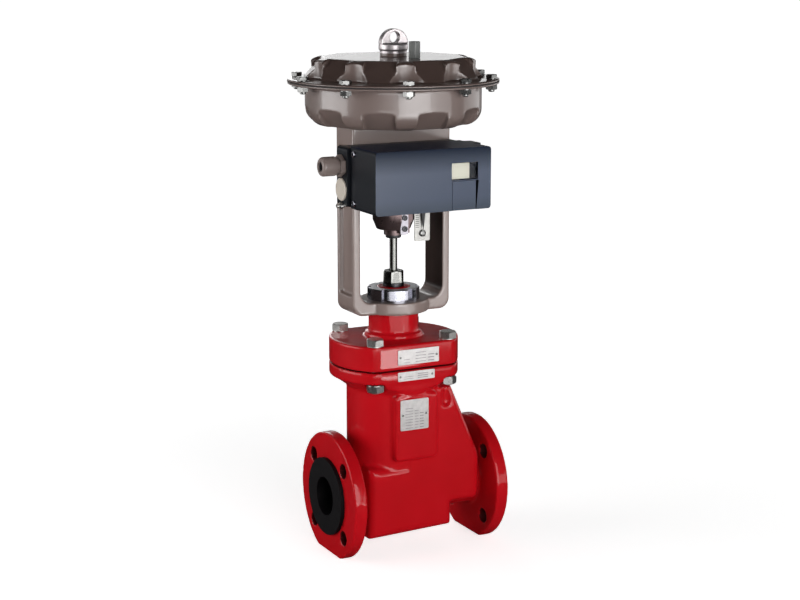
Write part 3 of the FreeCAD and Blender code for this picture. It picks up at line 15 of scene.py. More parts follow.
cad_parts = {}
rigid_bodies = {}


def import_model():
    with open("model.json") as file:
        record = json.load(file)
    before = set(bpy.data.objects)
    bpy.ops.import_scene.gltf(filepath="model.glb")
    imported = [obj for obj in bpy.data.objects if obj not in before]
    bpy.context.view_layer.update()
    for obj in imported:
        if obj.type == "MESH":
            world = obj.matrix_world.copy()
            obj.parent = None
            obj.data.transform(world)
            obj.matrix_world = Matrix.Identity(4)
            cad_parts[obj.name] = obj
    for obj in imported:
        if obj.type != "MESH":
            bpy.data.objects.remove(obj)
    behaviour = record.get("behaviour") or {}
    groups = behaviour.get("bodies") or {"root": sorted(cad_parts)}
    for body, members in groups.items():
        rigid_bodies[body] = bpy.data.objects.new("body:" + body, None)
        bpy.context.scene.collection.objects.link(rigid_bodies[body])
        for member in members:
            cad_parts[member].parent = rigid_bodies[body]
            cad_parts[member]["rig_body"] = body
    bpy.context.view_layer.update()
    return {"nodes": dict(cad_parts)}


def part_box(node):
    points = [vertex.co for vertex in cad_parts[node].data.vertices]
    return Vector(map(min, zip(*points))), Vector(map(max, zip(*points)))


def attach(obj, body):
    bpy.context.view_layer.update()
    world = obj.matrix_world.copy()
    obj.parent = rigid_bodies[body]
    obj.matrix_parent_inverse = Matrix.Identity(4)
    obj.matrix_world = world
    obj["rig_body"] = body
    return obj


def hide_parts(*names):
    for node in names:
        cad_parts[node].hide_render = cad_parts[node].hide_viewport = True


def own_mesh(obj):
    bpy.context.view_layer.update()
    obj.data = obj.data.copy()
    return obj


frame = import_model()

MM = 0.001
stem_low, stem_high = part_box("actuator_stem")
AXIS = Vector(((stem_low.x + stem_high.x) / 2, (stem_low.y + stem_high.y) / 2, 0.0))


def at(x, y, z):
    """A place given in millimetres from the stem's axis and the floor."""
    return AXIS + Vector((x, y, z)) * MM


# %% [markdown]
# The photograph was taken from the left of the outlet, slightly above the positioner, with a long
# lens. The camera below was fitted to the flanges, the case rim and the positioner's corners. It tilts
# down to keep the whole valve in view, so that only a trace of lens shift is needed.

# %% Camera
CAMERA_PLACE = (-1005.1, -2001.9, 784.6)
CAMERA_YAW = 26.876
CAMERA_TILT = 10.879
CAMERA_LENS = 80.28
CAMERA_SHIFT = -0.03

camera_data = bpy.data.cameras.new("camera")
camera_data.lens = CAMERA_LENS
camera_data.sensor_width = 36.0
camera_data.shift_y = CAMERA_SHIFT
camera = bpy.data.objects.new("camera", camera_data)
camera.location = at(*CAMERA_PLACE)
camera.rotation_euler = (math.radians(90 - CAMERA_TILT), 0.0, math.radians(-CAMERA_YAW))
bpy.context.scene.collection.objects.link(camera)
bpy.context.scene.camera = camera
bpy.context.scene.view_settings.view_transform = "Standard"
print("camera at", [round(v, 3) for v in camera.location])

# %% [markdown]
# A product on white is lit by large soft boxes. A broad one stands in front of this valve, one on each
# side and a small one behind it, all about level with it, and a dim world fills the rest. The world is
# white only where it is seen directly, in a mirror or through glass, and so is the far floor. The near
# floor is a little darker there, so that it keeps the valve's soft shadow.

# %% Small helpers for node trees
def new_node(tree, kind, **settings):
    """A node with its properties and the values of its sockets set by name."""
    node = tree.nodes.new(kind)
    for key, value in settings.items():
        if hasattr(node, key):
            setattr(node, key, value)
        else:
            node.inputs[key.replace("_", " ")].default_value = value
    return node


def white_seen_directly(tree):
    """1 where a surface is seen by the camera, in a mirror or through glass."""
    path = tree.nodes.new("ShaderNodeLightPath")
    first = new_node(tree, "ShaderNodeMath", operation="MAXIMUM")
    second = new_node(tree, "ShaderNodeMath", operation="MAXIMUM")
    tree.links.new(path.outputs["Is Camera Ray"], first.inputs[0])
    tree.links.new(path.outputs["Is Transmission Ray"], first.inputs[1])
    tree.links.new(first.outputs[0], second.inputs[0])
    tree.links.new(path.outputs["Is Glossy Ray"], second.inputs[1])
    return second.outputs[0]


def shader_of(finish):
    """The node that holds the finish's colour, roughness and gloss."""
    return finish.node_tree.nodes["Principled BSDF"]


def new_finish(name, colour, roughness, metallic=0.0, gloss=0.5):
    finish = bpy.data.materials.new(name)
    finish.use_nodes = True
    shader = shader_of(finish)
    shader.inputs["Base Color"].default_value = (*colour, 1.0)
    shader.inputs["Roughness"].default_value = roughness
    shader.inputs["Metallic"].default_value = metallic
    shader.inputs["Specular IOR Level"].default_value = gloss
    return finish, finish.node_tree, shader


# %% World and floor
HORIZON_LIGHT, ZENITH_LIGHT, SKY_FADES_BY = 0.16, 0.02, 0.8
FLOOR_WHITE, FLOOR_ROUGHNESS, FLOOR_REACH, FLOOR_DROP = 0.9, 0.9, 40.0, 0.2
GLOW_NEAR, GLOW_FAR = 0.68, 1.0
GLOW_RISES_FROM, GLOW_RISES_TO = 0.5, 3.0

world = bpy.data.worlds.new("studio")
world.use_nodes = True
bpy.context.scene.world = world
background = world.node_tree.nodes["Background"]
background.inputs["Color"].default_value = (1.0, 1.0, 1.0, 1.0)
sky = world.node_tree
direction = new_node(sky, "ShaderNodeTexCoord")
height = new_node(sky, "ShaderNodeSeparateXYZ")
fade = new_node(sky, "ShaderNodeMapRange", From_Min=0.0, From_Max=SKY_FADES_BY, To_Min=HORIZON_LIGHT,
                To_Max=ZENITH_LIGHT)
strength = new_node(sky, "ShaderNodeMix", data_type="FLOAT")
sky.links.new(direction.outputs["Generated"], height.inputs[0])
sky.links.new(height.outputs["Z"], fade.inputs["Value"])
sky.links.new(fade.outputs["Result"], strength.inputs[2])
strength.inputs[3].default_value = 1.0
sky.links.new(white_seen_directly(sky), strength.inputs[0])
sky.links.new(strength.outputs[0], background.inputs["Strength"])

floor_mesh = bpy.data.meshes.new("floor")
floor_corners = [(x * FLOOR_REACH, y * FLOOR_REACH, 0) for x, y in ((-1, -1), (1, -1), (1, 1), (-1, 1))]
floor_mesh.from_pydata(floor_corners, [], [(0, 1, 2, 3)])
floor = bpy.data.objects.new("floor", floor_mesh)
floor.location.z = -FLOOR_DROP * MM
bpy.context.scene.collection.objects.link(floor)
floor_finish, tree, paper = new_finish("floor_paper", (FLOOR_WHITE,) * 3, FLOOR_ROUGHNESS, gloss=0.0)
place = new_node(tree, "ShaderNodeTexCoord")
away = new_node(tree, "ShaderNodeVectorMath", operation="LENGTH")
rise = new_node(tree, "ShaderNodeMapRange", From_Min=GLOW_RISES_FROM, From_Max=GLOW_RISES_TO,
                To_Min=GLOW_NEAR, To_Max=GLOW_FAR)
glow = new_node(tree, "ShaderNodeMath", operation="MULTIPLY")
tree.links.new(place.outputs["Object"], away.inputs[0])
tree.links.new(away.outputs["Value"], rise.inputs["Value"])
tree.links.new(rise.outputs["Result"], glow.inputs[1])
tree.links.new(white_seen_directly(tree), glow.inputs[0])
paper.inputs["Emission Color"].default_value = (1.0, 1.0, 1.0, 1.0)
tree.links.new(glow.outputs[0], paper.inputs["Emission Strength"])
floor_mesh.materials.append(floor_finish)
print("world", HORIZON_LIGHT, "to", ZENITH_LIGHT, "floor glow", GLOW_NEAR, "to", GLOW_FAR)

# %% Lamps
MIDDLE = AXIS + Vector((0, 0, 0.33))
# Each lamp is (name, azimuth, elevation, distance, width, height, watts).
LAMPS = (("front_box", 1, 8, 2.3, 1.75, 1.3, 37.0), ("left_box", -108, 8, 2.3, 1.9, 1.3, 30.0),
         ("right_box", 98, 8, 2.3, 1.9, 1.3, 9.0), ("back_box", 168, 14, 2.6, 0.8, 1.2, 8.0))


def round_the_valve(azimuth, elevation, distance):
    """A place round the valve, with azimuth 0 in front of the positioner and positive to its right."""
    turn, rise = math.radians(azimuth), math.radians(elevation)
    return MIDDLE + distance * Vector((math.sin(turn) * math.cos(rise), -math.cos(turn) * math.cos(rise),
                                       math.sin(rise)))


def soft_box(name, place, width, height, power):
    """A rectangular lamp that faces the middle of the valve."""
    data = bpy.data.lights.new(name, "AREA")
    data.shape = "RECTANGLE"
    data.size, data.size_y = width, height
    data.energy = power
    lamp = bpy.data.objects.new(name, data)
    lamp.location = place
    lamp.rotation_euler = (MIDDLE - place).to_track_quat("-Z", "Y").to_euler()
    bpy.context.scene.collection.objects.link(lamp)


for lamp_name, azimuth, elevation, distance, *shape in LAMPS:
    soft_box(lamp_name, round_the_valve(azimuth, elevation, distance), *shape)
print("lamps", [lamp[0] for lamp in LAMPS])

# %% [markdown]
# Enamel and bright metal mirror the whole room, so what they show is built too. Dark cards close the
# room off on every side, and only gloss can see them. A few of them glow: the far floor in front and a
# low panel to its right give the satin sheen, a band behind edges the bright metal, and a small sheet
# on the floor lights the front of the bonnet's flange.

# %% Cards that only gloss can see
CARD_STEPS = 16
CARD_NEAR, CARD_MIDDLE, CARD_FAR = 0.005, 1.25, 5.0
CARD_FLOOR, CARD_BREAK, CARD_CEILING = 0.0003 - MIDDLE.z, 0.9, 3.2
CARD_BLACK, CARD_ROUGHNESS = 0.02, 0.5
FRONT_GLOW, BACK_GLOW, BAND_GLOW, LID_GLOW = 2.4, 0.16, 1.8, 12.0
FRONT_BEGINS, BACK_BEGINS = -0.55, 0.4
BAND_LOW, BAND_HIGH, BAND_REACH = 0.45, 0.76, 0.98 * CARD_FAR
PANEL_FROM, PANEL_TO, PANEL_DISTANCE, PANEL_TOP = 23, 52, 2.35, 0.12
LID_CARD, LID_CARD_LIFT = ((0.31, -0.88), (0.43, -1.24), (0.55, -1.19), (0.42, -0.84)), 0.004


def card(name, corners, glow=0.0):
    """A studio card that only mirrors and gloss can see, black or with a faint glow."""
    mesh = bpy.data.meshes.new(name)
    mesh.from_pydata([tuple(MIDDLE + Vector(corner)) for corner in corners], [], [tuple(range(len(corners)))])
    sheet = bpy.data.objects.new(name, mesh)
    bpy.context.scene.collection.objects.link(sheet)
    label = f"felt_{glow:.2f}"
    felt = bpy.data.materials.get(label)
    if felt is None:
        felt, _, shader = new_finish(label, (CARD_BLACK,) * 3, CARD_ROUGHNESS, gloss=0.0)
        shader.inputs["Emission Color"].default_value = (1.0, 1.0, 1.0, 1.0)
        shader.inputs["Emission Strength"].default_value = glow
    mesh.materials.append(felt)
    sheet.visible_camera = False
    sheet.visible_diffuse = False
    sheet.visible_shadow = False
    sheet.visible_transmission = False


for step in range(CARD_STEPS):
    here, after = (Vector((math.cos(turn), math.sin(turn), 0.0))
                   for turn in (2 * math.pi * (step + share) / CARD_STEPS for share in (0.0, 1.0)))
    depth = (here + after).y / 2
    front_glow = FRONT_GLOW if depth < FRONT_BEGINS else 0.0
    back_glow = BACK_GLOW if depth > BACK_BEGINS else 0.0
    # Each card runs from one (reach, level) to another, between the two directions.
    cards = [("near_floor_card", CARD_NEAR, CARD_FLOOR, CARD_MIDDLE, CARD_FLOOR, 0.0),
             ("far_floor_card", CARD_MIDDLE, CARD_FLOOR, CARD_FAR, CARD_FLOOR, front_glow),
             ("low_wall_card", CARD_FAR, CARD_FLOOR, CARD_FAR, CARD_BREAK, back_glow)]
    if depth > BACK_BEGINS:
        cards.append(("band_card", BAND_REACH, BAND_LOW, BAND_REACH, BAND_HIGH, BAND_GLOW))
    cards.append(("wall_card", CARD_FAR, CARD_BREAK, CARD_FAR, CARD_CEILING, 0.0))
    for card_name, near, low, far, high, glow_of_card in cards:
        low, high = Vector((0, 0, low)), Vector((0, 0, high))
        card(f"{card_name}_{step}", [near * here + low, far * here + high, far * after + high,
                                     near * after + low], glow_of_card)
    top = Vector((0, 0, CARD_CEILING))
    card(f"ceiling_card_{step}", [top, CARD_FAR * here + top, CARD_FAR * after + top])
panel_near, panel_far = (round_the_valve(turn, 0, PANEL_DISTANCE) - MIDDLE for turn in (PANEL_FROM, PANEL_TO))
card("satin_panel", [panel_near + Vector((0, 0, level)) for level in (CARD_FLOOR, PANEL_TOP)]
     + [panel_far + Vector((0, 0, level)) for level in (PANEL_TOP, CARD_FLOOR)], FRONT_GLOW)
card("lid_card", [(x, y, CARD_FLOOR + LID_CARD_LIFT) for x, y in LID_CARD], LID_GLOW)

# %% [markdown]
# The finishes come next. Each one is a few nodes that read Object coordinates, so the pattern stays on
# the piece in every view and pose. A noise whose spots have a real size in millimetres varies the
# colour a little, and another one gives the bump.

# %% Parts of a finish
# A noise stays near its middle, so colour and roughness run over this part of it.
COLOUR_SPREAD, ROUGHNESS_SPREAD = (0.35, 0.65), (0.3, 0.7)


def spots(tree, size, detail=2.0, stretch=(1.0, 1.0, 1.0)):
    """A noise with spots of about that many millimetres."""
    place = new_node(tree, "ShaderNodeTexCoord")
    scale = new_node(tree, "ShaderNodeMapping")
    scale.inputs["Scale"].default_value = stretch
    noise = new_node(tree, "ShaderNodeTexNoise", Scale=1.0 / (size * MM), Detail=detail)
    tree.links.new(place.outputs["Object"], scale.inputs["Vector"])
    tree.links.new(scale.outputs["Vector"], noise.inputs["Vector"])
    return noise.outputs["Fac"]


def vary_colour(tree, shader, factor, dark, light):
    """The base colour runs from dark to light over the spread of the factor."""
    ramp = tree.nodes.new("ShaderNodeValToRGB")
    for element, position, colour in zip(ramp.color_ramp.elements, COLOUR_SPREAD, (dark, light)):
        element.position = position
        element.color = (*colour, 1.0)
    tree.links.new(factor, ramp.inputs["Fac"])
    tree.links.new(ramp.outputs["Color"], shader.inputs["Base Color"])


def vary_roughness(tree, shader, factor, low, high):
    spread = new_node(tree, "ShaderNodeMapRange", From_Min=ROUGHNESS_SPREAD[0],
                      From_Max=ROUGHNESS_SPREAD[1], To_Min=low, To_Max=high)
    tree.links.new(factor, spread.inputs["Value"])
    tree.links.new(spread.outputs["Result"], shader.inputs["Roughness"])


def raise_grain(tree, shader, heights, depth, below=None):
    """A bump of that depth in millimetres, laid on another one where below is given."""
    bump = new_node(tree, "ShaderNodeBump", Strength=1.0, Distance=depth * MM)
    tree.links.new(heights, bump.inputs["Height"])
    if below:
        tree.links.new(below.outputs["Normal"], bump.inputs["Normal"])
    tree.links.new(bump.outputs["Normal"], shader.inputs["Normal"])
    return bump


# %% [markdown]
# The red and the taupe are thick enamels on castings. Sand leaves a fine grain under them, and the
# wet film draws it out to a soft waviness, so two bumps of different size are laid on each other.
# A coat gives the hard highlight over the wider gloss of the paint itself.

# %% Enamels on castings
COAT_WEIGHT = 0.5
SHADE_SPOTS, GLOSS_SPOTS, WAVE_SPOTS, SAND_SPOTS = 60.0, 14.0, 11.0, 0.9
TAUPE_DARK, TAUPE_LIGHT = (0.172, 0.126, 0.112), (0.188, 0.139, 0.125)


def cast_enamel(name, dark, light, roughness, coat_roughness, gloss, grain, wave):
    """Paint on a sand casting. Grain and wave are the depths of its two bumps in millimetres."""
    finish, tree, shader = new_finish(name, light, roughness, gloss=gloss)
    shader.inputs["Coat Weight"].default_value = COAT_WEIGHT
    shader.inputs["Coat Roughness"].default_value = coat_roughness
    vary_colour(tree, shader, spots(tree, SHADE_SPOTS, 2.0), dark, light)
    vary_roughness(tree, shader, spots(tree, GLOSS_SPOTS, 2.0), roughness - 0.02, roughness + 0.03)
    broad = raise_grain(tree, shader, spots(tree, WAVE_SPOTS, 1.0), wave)
    raise_grain(tree, shader, spots(tree, SAND_SPOTS, 3.0), grain, below=broad)
    return finish


def taupe(name, dark=TAUPE_DARK, light=TAUPE_LIGHT):
    return cast_enamel(name, dark, light, 0.34, coat_roughness=0.07, gloss=0.8, grain=0.004, wave=0.04)


RED_ENAMEL = cast_enamel("red_enamel", (0.50, 0.0045, 0.009), (0.54, 0.005, 0.011), 0.35,
                         coat_roughness=0.06, gloss=0.05, grain=0.006, wave=0.07)
TAUPE_ENAMEL = taupe("taupe_enamel")
# The yoke's enamel is a lighter copy of the case's taupe, which paints light onto the yoke.
YOKE_ENAMEL = taupe("yoke_enamel", (0.255, 0.190, 0.171), (0.275, 0.207, 0.187))
UPPER_ENAMEL = taupe("upper_enamel")
print("enamels", RED_ENAMEL.name, TAUPE_ENAMEL.name, YOKE_ENAMEL.name, UPPER_ENAMEL.name)

# %% [markdown]
# The hollow sides of the yoke's columns are painted darker as painted shade, and the facets of the upper
# case are painted darker than its plateau and its rim, also as painted shade. Both could be painted face
# by face, but the edge between the two paints is soft. So a share from 0 to 1 is read from the direction
# in which the surface looks, in the piece's own coordinates, and it stays the same from every side.

# %% Where painted shade darkens an enamel
INSIDE_SHADE_COLOUR, INSIDE_GLOSS, INSIDE_FROM, INSIDE_TO = (0.030, 0.018, 0.015), 0.12, 0.80, 0.97
SLOPE_SHADE_COLOUR, SLOPE_GLOSS, SLOPE_BEGINS, SLOPE_ENDS = (0.078, 0.052, 0.045), 0.35, (0.12, 0.34), (0.95, 0.86)


def darken(finish, share, colour, gloss):
    """Blends colour, gloss and coat towards a dull dark painted shade by a share from 0 to 1."""
    tree = finish.node_tree
    shader = shader_of(finish)
    blend = new_node(tree, "ShaderNodeMix", data_type="RGBA")
    tree.links.new(share, blend.inputs[0])
    tree.links.new(shader.inputs["Base Color"].links[0].from_socket, blend.inputs[6])
    blend.inputs[7].default_value = (*colour, 1.0)
    tree.links.new(blend.outputs[2], shader.inputs["Base Color"])
    for name, there in (("Specular IOR Level", gloss), ("Coat Weight", 0.0)):
        fall = new_node(tree, "ShaderNodeMapRange", To_Min=shader.inputs[name].default_value, To_Max=there)
        tree.links.new(share, fall.inputs["Value"])
        tree.links.new(fall.outputs["Result"], shader.inputs[name])


def facing_inwards(finish):
    """1 on the faces that look across the stem's axis from either side."""
    tree = finish.node_tree
    place = new_node(tree, "ShaderNodeTexCoord")
    side, look = new_node(tree, "ShaderNodeSeparateXYZ"), new_node(tree, "ShaderNodeSeparateXYZ")
    tree.links.new(place.outputs["Object"], side.inputs[0])
    tree.links.new(place.outputs["Normal"], look.inputs[0])
    away = new_node(tree, "ShaderNodeMath", operation="SUBTRACT")
    tree.links.new(side.outputs["X"], away.inputs[0])
    away.inputs[1].default_value = AXIS.x
    hand = new_node(tree, "ShaderNodeMath", operation="SIGN")
    tree.links.new(away.outputs[0], hand.inputs[0])
    inward = new_node(tree, "ShaderNodeMath", operation="MULTIPLY")
    tree.links.new(hand.outputs[0], inward.inputs[0])
    tree.links.new(look.outputs["X"], inward.inputs[1])
    share = new_node(tree, "ShaderNodeMapRange", From_Min=-INSIDE_FROM, From_Max=-INSIDE_TO)
    tree.links.new(inward.outputs[0], share.inputs["Value"])
    return share.outputs["Result"]


def sloping(finish):
    """1 on the faces that slope upwards, and 0 on level and upright ones."""
    tree = finish.node_tree
    place = new_node(tree, "ShaderNodeTexCoord")
    look = new_node(tree, "ShaderNodeSeparateXYZ")
    tree.links.new(place.outputs["Normal"], look.inputs[0])
    both = new_node(tree, "ShaderNodeMath", operation="MULTIPLY")
    for step, (least, most) in enumerate((SLOPE_BEGINS, SLOPE_ENDS)):
        edge = new_node(tree, "ShaderNodeMapRange", From_Min=least, From_Max=most)
        tree.links.new(look.outputs["Z"], edge.inputs["Value"])
        tree.links.new(edge.outputs["Result"], both.inputs[step])
    return both.outputs[0]


# Painted shade: the inward faces of the yoke's columns are darkened.
darken(YOKE_ENAMEL, facing_inwards(YOKE_ENAMEL), INSIDE_SHADE_COLOUR, INSIDE_GLOSS)
# Painted shade: the upward sloping facets of the upper case are darkened.
darken(UPPER_ENAMEL, sloping(UPPER_ENAMEL), SLOPE_SHADE_COLOUR, SLOPE_GLOSS)
print("inside the yoke", INSIDE_SHADE_COLOUR, "and on the facets", SLOPE_SHADE_COLOUR)

# %% [markdown]
# Bare metal has almost no colour of its own, because it shows the room. One metal differs from another
# in how bright it is, how wide its reflections are and which way the tool left its marks. A noise that
# is squeezed along one axis makes such marks. It varies the roughness and lifts a very fine bump.

# %% Metals
MARK_DETAIL, TARNISH_SPOTS, TARNISH = 3.0, 6.0, 0.86


def brushed_metal(name, colour, roughness, stretch=(1.0, 1.0, 1.0), size=0.6, depth=0.01):
    """Bare metal with fine marks that run the way the tool went."""
    finish, tree, shader = new_finish(name, colour, roughness, 1.0)
    marks = spots(tree, size, MARK_DETAIL, stretch)
    vary_roughness(tree, shader, marks, roughness - 0.07, roughness + 0.1)
    tarnished = [TARNISH * c for c in colour]
    vary_colour(tree, shader, spots(tree, TARNISH_SPOTS, MARK_DETAIL), tarnished, colour)
    raise_grain(tree, shader, marks, depth)
    return finish


STAINLESS = brushed_metal("stainless", (0.18, 0.18, 0.172), 0.20, (1.0, 1.0, 14.0))
BRIGHT_PLATE = brushed_metal("bright_plate", (0.40, 0.40, 0.45), 0.20, (1.0, 1.0, 6.0), depth=0.002)
TURNED_AND_LIT_FACE = brushed_metal("turned_and_lit_face", (0.90, 0.90, 0.93), 0.44, size=0.7, depth=0.004)
DARK_STEEL = brushed_metal("dark_steel", (0.06, 0.06, 0.065), 0.30, size=0.7, depth=0.004)
STRIP_METAL = brushed_metal("strip_metal", (0.44, 0.42, 0.46), 0.45, (1.0, 1.0, 8.0), 0.6, 0.004)
SCALE_METAL = brushed_metal("scale_metal", (0.36, 0.355, 0.34), 0.36, (1.0, 1.0, 0.2), 2.2, 0.02)
ZINC = brushed_metal("zinc_fasteners", (0.24, 0.24, 0.235), 0.30, size=1.1, depth=0.01)
BRIGHT_ZINC = brushed_metal("bright_zinc", (0.48, 0.47, 0.455), 0.32, size=1.1, depth=0.01)
EYE_STEEL = brushed_metal("eye_steel", (0.70, 0.65, 0.66), 0.44, size=0.8, depth=0.006)
BARE_PLATE = brushed_metal("bare_plate", (0.54, 0.52, 0.515), 0.42, (1.0, 1.0, 16.0), 0.5, 0.004)
BUSH_BRONZE = brushed_metal("bush_bronze", (0.52, 0.33, 0.16), 0.34, (1.0, 1.0, 8.0))
SPRING_STEEL = brushed_metal("spring_steel", (0.20, 0.20, 0.21), 0.40)
print("metals", [finish.name for finish in (STAINLESS, BRIGHT_PLATE, TURNED_AND_LIT_FACE, DARK_STEEL, STRIP_METAL,
                                            SCALE_METAL, ZINC, BRIGHT_ZINC, EYE_STEEL, BARE_PLATE,
                                            BUSH_BRONZE, SPRING_STEEL)])

# %% [markdown]
# Plastic, rubber and powder paint take an even, shallow grain from the mould or the oven. The
# positioner's cover is the smoothest of them. Painted shade and sheen fade its front from a greyish
# blue in the middle to nearly black at the top, so its colour and gloss follow a few stops over its height.

# %% Plastics, rubber and paint on the small parts
def moulded(name, colour, roughness, grain_size=0.5, grain=0.02, gloss=0.5, metallic=0.0):
    """Plastic or powder paint with a fine even grain."""
    finish, tree, shader = new_finish(name, colour, roughness, metallic, gloss)
    vary_roughness(tree, shader, spots(tree, 5.0, 3.0), roughness - 0.01, roughness + 0.015)
    raise_grain(tree, shader, spots(tree, grain_size, 2.0), grain)
    return finish


def fade_by_height(finish, heights, stops):
    """Colour and gloss between two heights. A stop is (share of the height, colour, gloss)."""
    tree = finish.node_tree
    shader = shader_of(finish)
    place = new_node(tree, "ShaderNodeTexCoord")
    split = new_node(tree, "ShaderNodeSeparateXYZ")
    climb = new_node(tree, "ShaderNodeMapRange", From_Min=heights[0], From_Max=heights[1])
    tree.links.new(place.outputs["Object"], split.inputs[0])
    tree.links.new(split.outputs["Z"], climb.inputs["Value"])
    sockets = (("Base Color", lambda stop: (*stop[1], 1.0)),
               ("Specular IOR Level", lambda stop: (stop[2], stop[2], stop[2], 1.0)))
    for name, pick in sockets:
        ramp = tree.nodes.new("ShaderNodeValToRGB")
        for stop in stops[1:-1]:
            ramp.color_ramp.elements.new(stop[0])
        for element, stop in zip(ramp.color_ramp.elements, stops):
            element.color = pick(stop)
        tree.links.new(climb.outputs["Result"], ramp.inputs["Fac"])
        tree.links.new(ramp.outputs["Color"], shader.inputs[name])


BLACK_LINER = moulded("black_liner", (0.005, 0.004, 0.005), 0.62, 0.8, 0.01, gloss=0.15)
WHITE_FLUOROPOLYMER = moulded("white_fluoropolymer", (0.78, 0.78, 0.76), 0.45)
HOUSING_BLUE = moulded("housing_blue", (0.020, 0.042, 0.080), 0.24, 0.45, 0.001)
COVER_TOP_SHADE = moulded("cover_top_shade", (0.006, 0.015, 0.044), 0.42, 0.45, 0.006, gloss=0.15)
HOUSING_BLACK = moulded("housing_black", (0.003, 0.005, 0.010), 0.40, 0.6, 0.01, gloss=0.3)
BRACKET_PAINT = moulded("bracket_steel", (0.035, 0.036, 0.040), 0.38, 0.8, 0.03)
BROWN_PAINT = moulded("brown_paint", (0.13, 0.090, 0.090), 0.28, 0.9, 0.008, metallic=0.65)
GLAND_PLASTIC = moulded("gland_plastic", (0.24, 0.19, 0.175), 0.30)
VENT_PLASTIC = moulded("vent_plastic", (0.16, 0.165, 0.16), 0.35)
CREAM_PLASTIC = moulded("cream_plastic", (0.64, 0.57, 0.49), 0.42)
DIAPHRAGM_RUBBER = moulded("diaphragm_rubber", (0.018, 0.018, 0.018), 0.7)
DARK_INK = moulded("dark_ink", (0.02, 0.02, 0.022), 0.5)
FAINT_INK = moulded("faint_ink", (0.17, 0.16, 0.17), 0.5)
HOLE_RED = moulded("hole_red", (0.075, 0.003, 0.004), 0.6, gloss=0.1)
LCD = moulded("lcd_cream", (0.54, 0.53, 0.44), 0.3)
PANE = moulded("pane", (0.9, 0.9, 0.9), 0.08)
shader_of(PANE).inputs["Transmission Weight"].default_value = 1.0
shader_of(PANE).inputs["IOR"].default_value = 1.1

COVER_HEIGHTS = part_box("positioner_cover")[0].z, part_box("positioner_cover")[1].z
# Painted shade and sheen: the cover's front is lightest and glossiest in the middle and nearly black at the
# top.
COVER_SHADE_AND_SHEEN = ((0.0, (0.013, 0.028, 0.055), 0.30), (0.22, (0.018, 0.036, 0.080), 0.40),
              (0.62, (0.019, 0.037, 0.083), 0.45), (0.84, (0.010, 0.022, 0.048), 0.24),
              (1.0, (0.004, 0.010, 0.026), 0.06))
fade_by_height(HOUSING_BLUE, COVER_HEIGHTS, COVER_SHADE_AND_SHEEN)
print("finishes", len(bpy.data.materials))

# %% [markdown]
# A casting has no sharp edge: sand rounds its corners and fills them. The CAD body has the right
# faces with crisp corners, so the copy's skin is rebuilt from small cubes and then eased, which
# rounds every edge inside and out. The tool that does this is the Remesh modifier. A machined or
# moulded part keeps its flat faces and gets only a narrow bevel along its sharp edges.

# %% Copies of frame pieces with softer edges
WELD = 0.002
FLAT_WITHIN, BEVEL_FROM, SMOOTH_UP_TO = 1.0, 32.0, 35.0


def settle(host, name, finish):
    """Turns a host with its modifiers into a plain mesh that carries one finish."""
    graph = bpy.context.evaluated_depsgraph_get()
    mesh = bpy.data.meshes.new_from_object(host.evaluated_get(graph), depsgraph=graph)
    mesh.name = name
    mesh.materials.clear()
    mesh.materials.append(finish)
    for polygon in mesh.polygons:
        polygon.material_index = 0
    piece = bpy.data.objects.new(name, mesh)
    bpy.context.scene.collection.objects.link(piece)
    bpy.data.objects.remove(host)
    return piece


def rework(host, operation):
    """Runs one operation on the host's mesh."""
    shell = bmesh.new()
    shell.from_mesh(host.data)
    operation(shell)
    shell.to_mesh(host.data)
    shell.free()


def merged_copy(node):
    """A copy of a frame piece with its loose triangles joined into one skin."""
    host = bpy.data.objects.new("host", frame["nodes"][node].data.copy())
    bpy.context.scene.collection.objects.link(host)
    rework(host, lambda shell: bmesh.ops.remove_doubles(shell, verts=shell.verts, dist=WELD * MM))
    return host


# %% [markdown]
# Each new piece names the frame pieces whose place it takes, and it moves with the body of the first one.

# %% What a new piece stands in for
def body_of(node):
    return frame["nodes"][node]["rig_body"]


def stand_in(piece, *nodes):
    """The piece takes the place of these frame pieces and moves with their body."""
    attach(piece, body_of(nodes[0]))
    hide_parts(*nodes)
    print(piece.name, len(piece.data.polygons), "faces for", *nodes)
    return piece


# %% Castings and machined copies
def casting(node, finish, grid, easing):
    """The node's shape with every edge rounded, from a grid of that many millimetres."""
    host = merged_copy(node)
    skin = host.modifiers.new("skin", "REMESH")
    skin.mode = "VOXEL"
    skin.voxel_size = grid * MM
    skin.use_smooth_shade = True
    ease = host.modifiers.new("ease", "SMOOTH")
    ease.factor = 0.5
    ease.iterations = easing
    return stand_in(settle(host, f"{node}_cast", finish), node)


def machined(node, finish, chamfer):
    """The node's shape with a small chamfer on every sharp edge."""
    host = merged_copy(node)
    rework(host, lambda shell: bmesh.ops.dissolve_limit(
        shell, angle_limit=math.radians(FLAT_WITHIN), verts=shell.verts, edges=shell.edges))
    edge = host.modifiers.new("edge", "BEVEL")
    edge.width = chamfer * MM
    edge.segments = 2
    edge.limit_method = "ANGLE"
    edge.angle_limit = math.radians(BEVEL_FROM)
    edge.use_clamp_overlap = True
    eased = settle(host, "eased", finish)
    eased.data.shade_smooth()
    eased.data.set_sharp_from_angle(angle=math.radians(SMOOTH_UP_TO))
    level = eased.modifiers.new("level", "WEIGHTED_NORMAL")
    level.keep_sharp = True
    return stand_in(settle(eased, f"{node}_part", finish), node)


# %% [markdown]
# Screws and nuts repeat on circles and rows. One head is modelled with the curved chamfer that a
# lathe leaves where a cone cuts the six flats, and Geometry Nodes set copies of it round a circle or
# along a row. Each copy is turned a little at random, because nobody lines up the flats of real nuts.

# %% Small heads built ring by ring
RING_STEPS = 48
HEAD_CORNER, HEAD_CHAMFER, CONE_SLOPE = 0.475, 0.06, math.tan(math.radians(30))
FRONT, LEFT, RIGHT, DOWN = (0, -1, 0), (-1, 0, 0), (1, 0, 0), (0, 0, -1)


